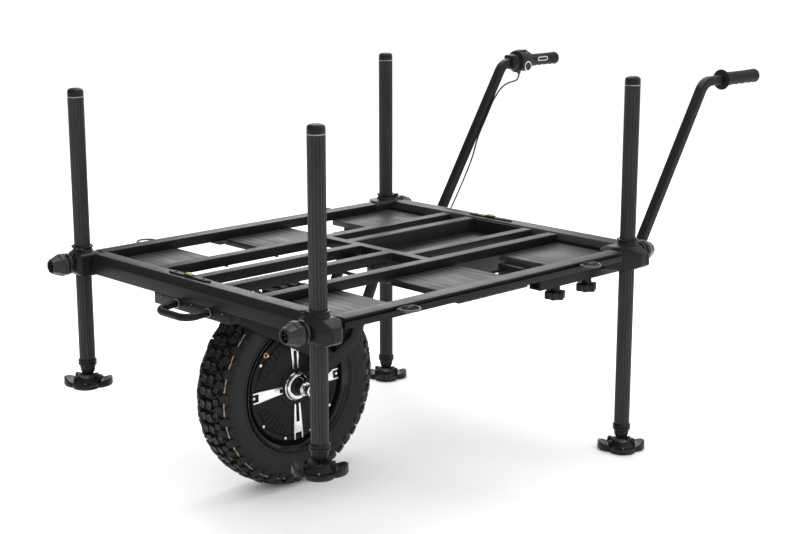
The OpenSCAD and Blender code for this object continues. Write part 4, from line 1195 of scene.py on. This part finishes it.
def square_rod(name, points, width, corner, bend):
    """A square tube with rounded corners along straight runs joined by bends in a YZ plane."""
    path = [Vector(points[0])]
    for before, here, after in zip(points, points[1:], points[2:]):
        before, here, after = Vector(before), Vector(here), Vector(after)
        into, out = (here - before).normalized(), (after - here).normalized()
        turn = into.angle(out)
        start = here - into * bend * math.tan(turn / 2)
        hub = start + (out - into * into.dot(out)).normalized() * bend
        axis = into.cross(out).normalized()
        steps = 14
        for k in range(steps + 1):
            path.append(hub + Matrix.Rotation(turn * k / steps, 3, axis) @ (start - hub))
    path.append(Vector(points[-1]))

    profile = bpy.data.curves.new(name + "_profile", "CURVE")
    profile.dimensions = "2D"
    outline = profile.splines.new("POLY")
    corners = []
    reach = width / 2 - corner
    for quarter, (sx, sy) in enumerate(((1, 1), (-1, 1), (-1, -1), (1, -1))):
        for k in range(5):
            angle = math.pi / 2 * (quarter + k / 4)
            corners.append((sx * reach + corner * math.cos(angle), sy * reach + corner * math.sin(angle)))
    outline.points.add(len(corners) - 1)
    for point, place in zip(outline.points, corners):
        point.co = (*place, 0, 1)
    outline.use_cyclic_u = True
    section = bpy.data.objects.new(name + "_section", profile)
    bpy.context.scene.collection.objects.link(section)

    curve = bpy.data.curves.new(name, "CURVE")
    curve.dimensions = "3D"
    curve.twist_mode = "Z_UP"
    curve.bevel_mode = "OBJECT"
    curve.bevel_object = section
    curve.use_fill_caps = True
    spline = curve.splines.new("POLY")
    spline.points.add(len(path) - 1)
    for point, place in zip(spline.points, path):
        point.co = (*place, 1)
    rod = bpy.data.objects.new(name, curve)
    bpy.context.scene.collection.objects.link(rod)
    focus(rod)
    bpy.ops.object.convert(target="MESH")
    bpy.data.objects.remove(section)
    return faced_out(added(name))


class BARROW_OT_handles(bpy.types.Operator):
    """Model the two bent push handles and their grips"""
    bl_idname = "barrow.handles"
    bl_label = "Handles"

    def execute(self, context):
        for side, node in ((-1, "left_handle"), (1, "right_handle")):
            low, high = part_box(node)
            x = (low.x + high.x) / 2
            tube_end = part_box(node.replace("handle", "grip"))[0].y
            lower, upper = HANDLE_LOW, HANDLE_HIGH
            rod = square_rod(node + "_tube", [(x, low.y, lower), (x, 533 * MM, lower), (x, 787 * MM, upper),
                                              (x, tube_end, upper)], 22 * MM, 4 * MM, 45 * MM)
            finished(rod, node + "_body", FINISHES["frame"], [node], 35)
            self.grip(node.replace("handle", "grip"), node + "_body", x, upper, side)
        return {"FINISHED"}

    def grip(self, node, body, x, z, side):
        low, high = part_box(node)
        guard = 25 * MM
        start, end = low.y, high.y
        profile = [(0, start)]
        if side > 0:
            profile += [(guard - 1.5 * MM, start), (guard, start + 1.5 * MM),
                        (guard - 1.0 * MM, start + 4 * MM), (18.5 * MM, start + 6 * MM)]
            start += 7 * MM
        else:
            profile += [(16.6 * MM, start)]
        length = end - start - 4 * MM
        ridges, scallops = 46, 5
        for k in range(ridges + 1):
            along = k / ridges
            ridge = 0.35 * MM if k % 2 else -0.2 * MM
            flare = 0.9 * MM * abs(2 * along - 1) ** 3
            profile.append((16.1 * MM + ridge + flare, start + along * length))
        profile += [(16.4 * MM, end - 2.6 * MM), (15 * MM, end - 1 * MM), (12.5 * MM, end), (0, end)]
        grip = lathe(node + "_sleeve", profile, (x, 0, z), "Y", 48)
        for vertex in grip.data.vertices:
            below = max(0.0, -(vertex.co.z - z) / (17 * MM))
            along = (vertex.co.y - start) / length
            if 0.02 < along < 0.98 and below > 0.25:
                wave = 0.5 - 0.5 * math.cos(2 * math.pi * along * scallops)
                vertex.co.z += 2.2 * MM * below * wave
        finished(grip, body, FINISHES["grip"], [node], 50)


class BARROW_OT_throttle(bpy.types.Operator):
    """Model the throttle unit on the left handle, with its button and its paddle"""
    bl_idname = "barrow.throttle"
    bl_label = "Throttle unit"

    def execute(self, context):
        low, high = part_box("throttle_body")
        x, z = -330 * MM, HANDLE_HIGH
        start, end = low.y, high.y
        button_at = (x, 857 * MM, z - 12 * MM)
        band = block("band", (x - 19.5 * MM, start, z - 19.5 * MM),
                     (x + 19.5 * MM, start + 13 * MM, z + 19.5 * MM))
        softened(band, 9 * MM, 5, 20)
        drum_start = 838 * MM
        housing = lathe("housing", [(12 * MM, 820 * MM), (20 * MM, 820 * MM), (21 * MM, 823 * MM),
                                    (21 * MM, drum_start - 3 * MM), (27 * MM, drum_start - 1 * MM),
                                    (29.6 * MM, drum_start), (30 * MM, drum_start + 2 * MM),
                                    (29.6 * MM, drum_start + 5 * MM), (26.5 * MM, drum_start + 6 * MM),
                                    (26.5 * MM, drum_start + 8 * MM), (28 * MM, drum_start + 10 * MM),
                                    (28 * MM, drum_start + 40 * MM), (26 * MM, drum_start + 44.5 * MM),
                                    (20 * MM, drum_start + 46 * MM), (16 * MM, drum_start + 46 * MM),
                                    (16 * MM, end), (12 * MM, end), (12 * MM, 820 * MM)],
                        (x, 0, z), "Y", 56)
        cut(housing, drum("recess", 10.2 * MM, 20 * MM, (x + 24 * MM, 857 * MM, z - 12 * MM), "X", 40))
        top = block("top_box", (x - 12 * MM, drum_start + 10 * MM, z + 20 * MM),
                    (x + 8 * MM, drum_start + 38 * MM, z + 31 * MM))
        softened(top, 2.5 * MM, 3, 20)
        gland = lathe("gland", mm((2.2, 0), (4.2, 0), (5, 2), (5, 12), (2.2, 12), (2.2, 0)),
                      (x, 852 * MM, 311 * MM), "Z", 24)
        pod = lathe("pod", mm((0, 12), (14, 12), (14, 28), (13.4, 28.8), (11, 28.8), (10.2, 27),
                              (10.2, 24), (0, 24)), button_at, "X", 40)
        finished(joined("throttle_housing", [housing, band, top, gland, pod]), "left_handle_body",
                 FINISHES["plastic"], ["throttle_body"], 35)
        bezel = lathe("button_bezel", mm((10.6, 28.6), (13.6, 28.6), (13.8, 29.6), (12.6, 30.4), (11, 30),
                                         (10.6, 28.6)), button_at, "X", 48)
        finished(bezel, "left_handle_body", FINISHES["chrome"])
        rings = []
        for turn in (0, math.pi):
            screw = lathe("screw", mm((0, 0), (2.4, 0), (2.4, 1.6), (1.4, 2.2), (0, 2.2)), ORIGIN, "Z",
                          16)
            rings.append(settle(screw, Matrix.Translation((x, 0, z)) @ Matrix.Rotation(turn + 0.9, 4, "Y")
                                @ Matrix.Translation((0, start + 6.5 * MM, 19.6 * MM))))
        finished(joined("band_screws", rings), "left_handle_body", FINISHES["steel"])

        button = lathe("button_cap", mm((0, 28), (9.8, 28), (9.8, 30.2), (8.6, 31), (5, 30.4), (0, 30)),
                       button_at, "X", 40)
        finished(button, "throttle_button_body", FINISHES["gloss"], ["throttle_button"])
        self.paddle(x, z)
        return {"FINISHED"}

    def paddle(self, x, z):
        low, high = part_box("throttle_lever")
        ring = lathe("paddle_ring", mm((16.1, 0), (21, 0), (22, 1), (22, 6.4), (21, 7.4), (16.1, 7.4),
                                       (16.1, 0)), (x, low.y, z), "Y", 48)
        tab = block("tab", (x + 19.5 * MM, low.y + 1 * MM, z - 3 * MM), (x + 24.5 * MM, high.y, z + 12 * MM))
        softened(tab, 2.4 * MM, 4, 20)
        finished(joined("paddle", [ring, tab]), "throttle_lever_body", FINISHES["plastic"],
                 ["throttle_lever"], 35)
        outline = []
        reach, radius = 15 * MM, 5.6 * MM
        for end in (1, -1):
            for k in range(9):
                angle = math.pi * (k / 8 - 0.5)
                outline.append((end * (reach + radius * math.cos(angle)), end * radius * math.sin(angle)))
        bezel = slab("paddle_bezel", outline, 0.8 * MM, facing_x(0))
        hole = slab("hole", [(a * 0.87, b * 0.66) for a, b in outline], 6 * MM, facing_x(-3 * MM))
        cut(bezel, hole)
        settle(bezel, Matrix.Translation((x + 24.3 * MM, (low.y + high.y) / 2 + 10 * MM, z + 4.5 * MM)))
        finished(bezel, "throttle_lever_body", FINISHES["chrome"])


class BARROW_OT_receiver_knobs(bpy.types.Operator):
    """Model the four lobed knobs under the handle receivers"""
    bl_idname = "barrow.receiver_knobs"
    bl_label = "Receiver knobs"

    def execute(self, context):
        for quarter in QUARTERS:
            node = "receiver_knob_" + quarter
            centre = middle(node)
            place = Matrix.Translation((centre.x, centre.y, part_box(node)[0].z))
            knob = settle(joined(node + "_grip", self.model()), place)
            finished(knob, node + "_body", FINISHES["plastic"], [node], 40)
        return {"FINISHED"}

    def model(self):
        """A lobed head, hollow underneath, and its neck, at the origin."""
        points, lobes = 72, 6
        outline = []
        for k in range(points):
            angle = 2 * math.pi * k / points
            reach = 22 * MM + 2.6 * MM * math.cos(lobes * angle)
            outline.append((reach * math.cos(angle), reach * math.sin(angle)))
        head = slab("head", outline, 19 * MM, Matrix.Translation((0, 0, 0.5 * MM)))
        softened(head, 3 * MM, 4, 40)
        select(head, "FACE", lambda f: f.normal.z < -0.9 and f.area > 1e-4)
        with editing(head, "FACE"):
            bpy.ops.mesh.inset(thickness=5 * MM, depth=0)
            bpy.ops.mesh.extrude_region_move(TRANSFORM_OT_translate={"value": (0, 0, 2.5 * MM)})
        neck = lathe("neck", mm((0, 19), (13.5, 19), (12, 22), (11.6, 30), (12, 32), (4, 32), (4, 36),
                                (0, 36)), ORIGIN, "Z", 36)
        return [head, neck]


# ---- Lashing rings and cables ----

THROTTLE_ROUTE = [
    (-330, 852, 311), (-330, 852, 303), (-329, 845, 296), (-328, 836, 293), (-326, 824, 292),
    (-323, 810, 291), (-320, 796, 290), (-317, 782, 287), (-316, 766, 280), (-316, 752, 268),
    (-316, 735, 250), (-316, 722, 230), (-316, 710, 210), (-316, 697, 190), (-316, 684, 170),
    (-315, 672, 150), (-313, 662, 130), (-311, 652, 110), (-310, 641, 90), (-310, 629, 70),
    (-310, 617, 50), (-310, 604, 30), (-310, 591, 10), (-310, 576, -12), (-310, 560, -34),
    (-310, 545, -48), (-310, 528, -55), (-310, 510, -56), (-310, 488, -56),
]
MOTOR_ROUTE = [
    (-85, -270, -266), (-93, -270, -266), (-98, -256, -256), (-94, -238, -236), (-86, -218, -212),
    (-80, -200, -188), (-78, -184, -166), (-77, -170, -146), (-76, -156, -126), (-76, -144, -106),
    (-75, -132, -84), (-70, -122, -62), (-56, -115, -46), (-36, -112, -39), (0, -111, -38),
    (36, -111, -38), (66, -108, -39), (90, -98, -42), (112, -82, -46), (134, -58, -48),
    (152, -36, -49), (170, -10, -49), (190, 20, -48), (206, 50, -48), (214, 84, -48),
    (216, 120, -48), (216, 160, -48), (216, 188, -48),
]


class BARROW_OT_cables(bpy.types.Operator):
    """Model the throttle cable with its plug, and the motor cable"""
    bl_idname = "barrow.cables"
    bl_label = "Cables"

    def execute(self, context):
        route = mm(*THROTTLE_ROUTE)
        finished(swept("throttle_lead", route, 2.2 * MM), "left_handle_body", FINISHES["cable"],
                 ["throttle_cable"], 60)
        finished(swept("motor_lead", mm(*MOTOR_ROUTE), 4 * MM), "deck", FINISHES["cable"],
                 ["motor_cable"], 60)
        end = Vector(route[-1])
        plug = lathe("plug", mm((0, 0), (5.6, 0), (6, -1), (6, -4), (5, -5), (5, -6), (6, -7), (6, -18),
                                (4.4, -21), (3, -34), (2.3, -34), (2.3, -2), (0, -2)), ORIGIN, "Y", 28)
        settle(plug, Matrix.Translation(end) @ Matrix.Rotation(math.pi, 4, "Z"))
        finished(plug, "left_handle_body", FINISHES["plastic"])
        return {"FINISHED"}


class BARROW_OT_rings(bpy.types.Operator):
    """Finish the four lashing rings"""
    bl_idname = "barrow.rings"
    bl_label = "Lashing rings"

    def execute(self, context):
        for quarter in QUARTERS:
            node = "d_ring_" + quarter
            finished(skin_of(node, 0), node + "_body", FINISHES["wire"], [node], 60)
        return {"FINISHED"}


class BARROW_PT_panel(bpy.types.Panel):
    """Buttons that build the barrow piece by piece"""
    bl_idname = "BARROW_PT_panel"
    bl_label = "Platform barrow"
    bl_space_type = "VIEW_3D"
    bl_region_type = "UI"
    bl_category = "Barrow"

    def draw(self, context):
        for group in (context.scene.barrow_colours, context.scene.barrow_details):
            column = self.layout.column()
            for key in group.__annotations__:
                column.prop(group, key)
        for step in STEPS:
            self.layout.operator(step.bl_idname)


STEPS = (BARROW_OT_stage, BARROW_OT_cables, BARROW_OT_deck, BARROW_OT_levels, BARROW_OT_clamps,
         BARROW_OT_clamp_knobs, BARROW_OT_legs, BARROW_OT_feet, BARROW_OT_tyre, BARROW_OT_wheel,
         BARROW_OT_axle, BARROW_OT_fork, BARROW_OT_handles, BARROW_OT_throttle,
         BARROW_OT_receiver_knobs, BARROW_OT_rings)
CLASSES = (BarrowColours, BarrowDetails) + STEPS + (BARROW_PT_panel,)


def register():
    for item in CLASSES:
        bpy.utils.register_class(item)
    bpy.types.Scene.barrow_colours = bpy.props.PointerProperty(type=BarrowColours)
    bpy.types.Scene.barrow_details = bpy.props.PointerProperty(type=BarrowDetails)


def unregister():
    del bpy.types.Scene.barrow_colours
    del bpy.types.Scene.barrow_details
    for item in reversed(CLASSES):
        bpy.utils.unregister_class(item)


def main():
    register()
    for step in STEPS:
        group, name = step.bl_idname.split(".")
        getattr(getattr(bpy.ops, group), name)()


if __name__ == "__main__":
    main()
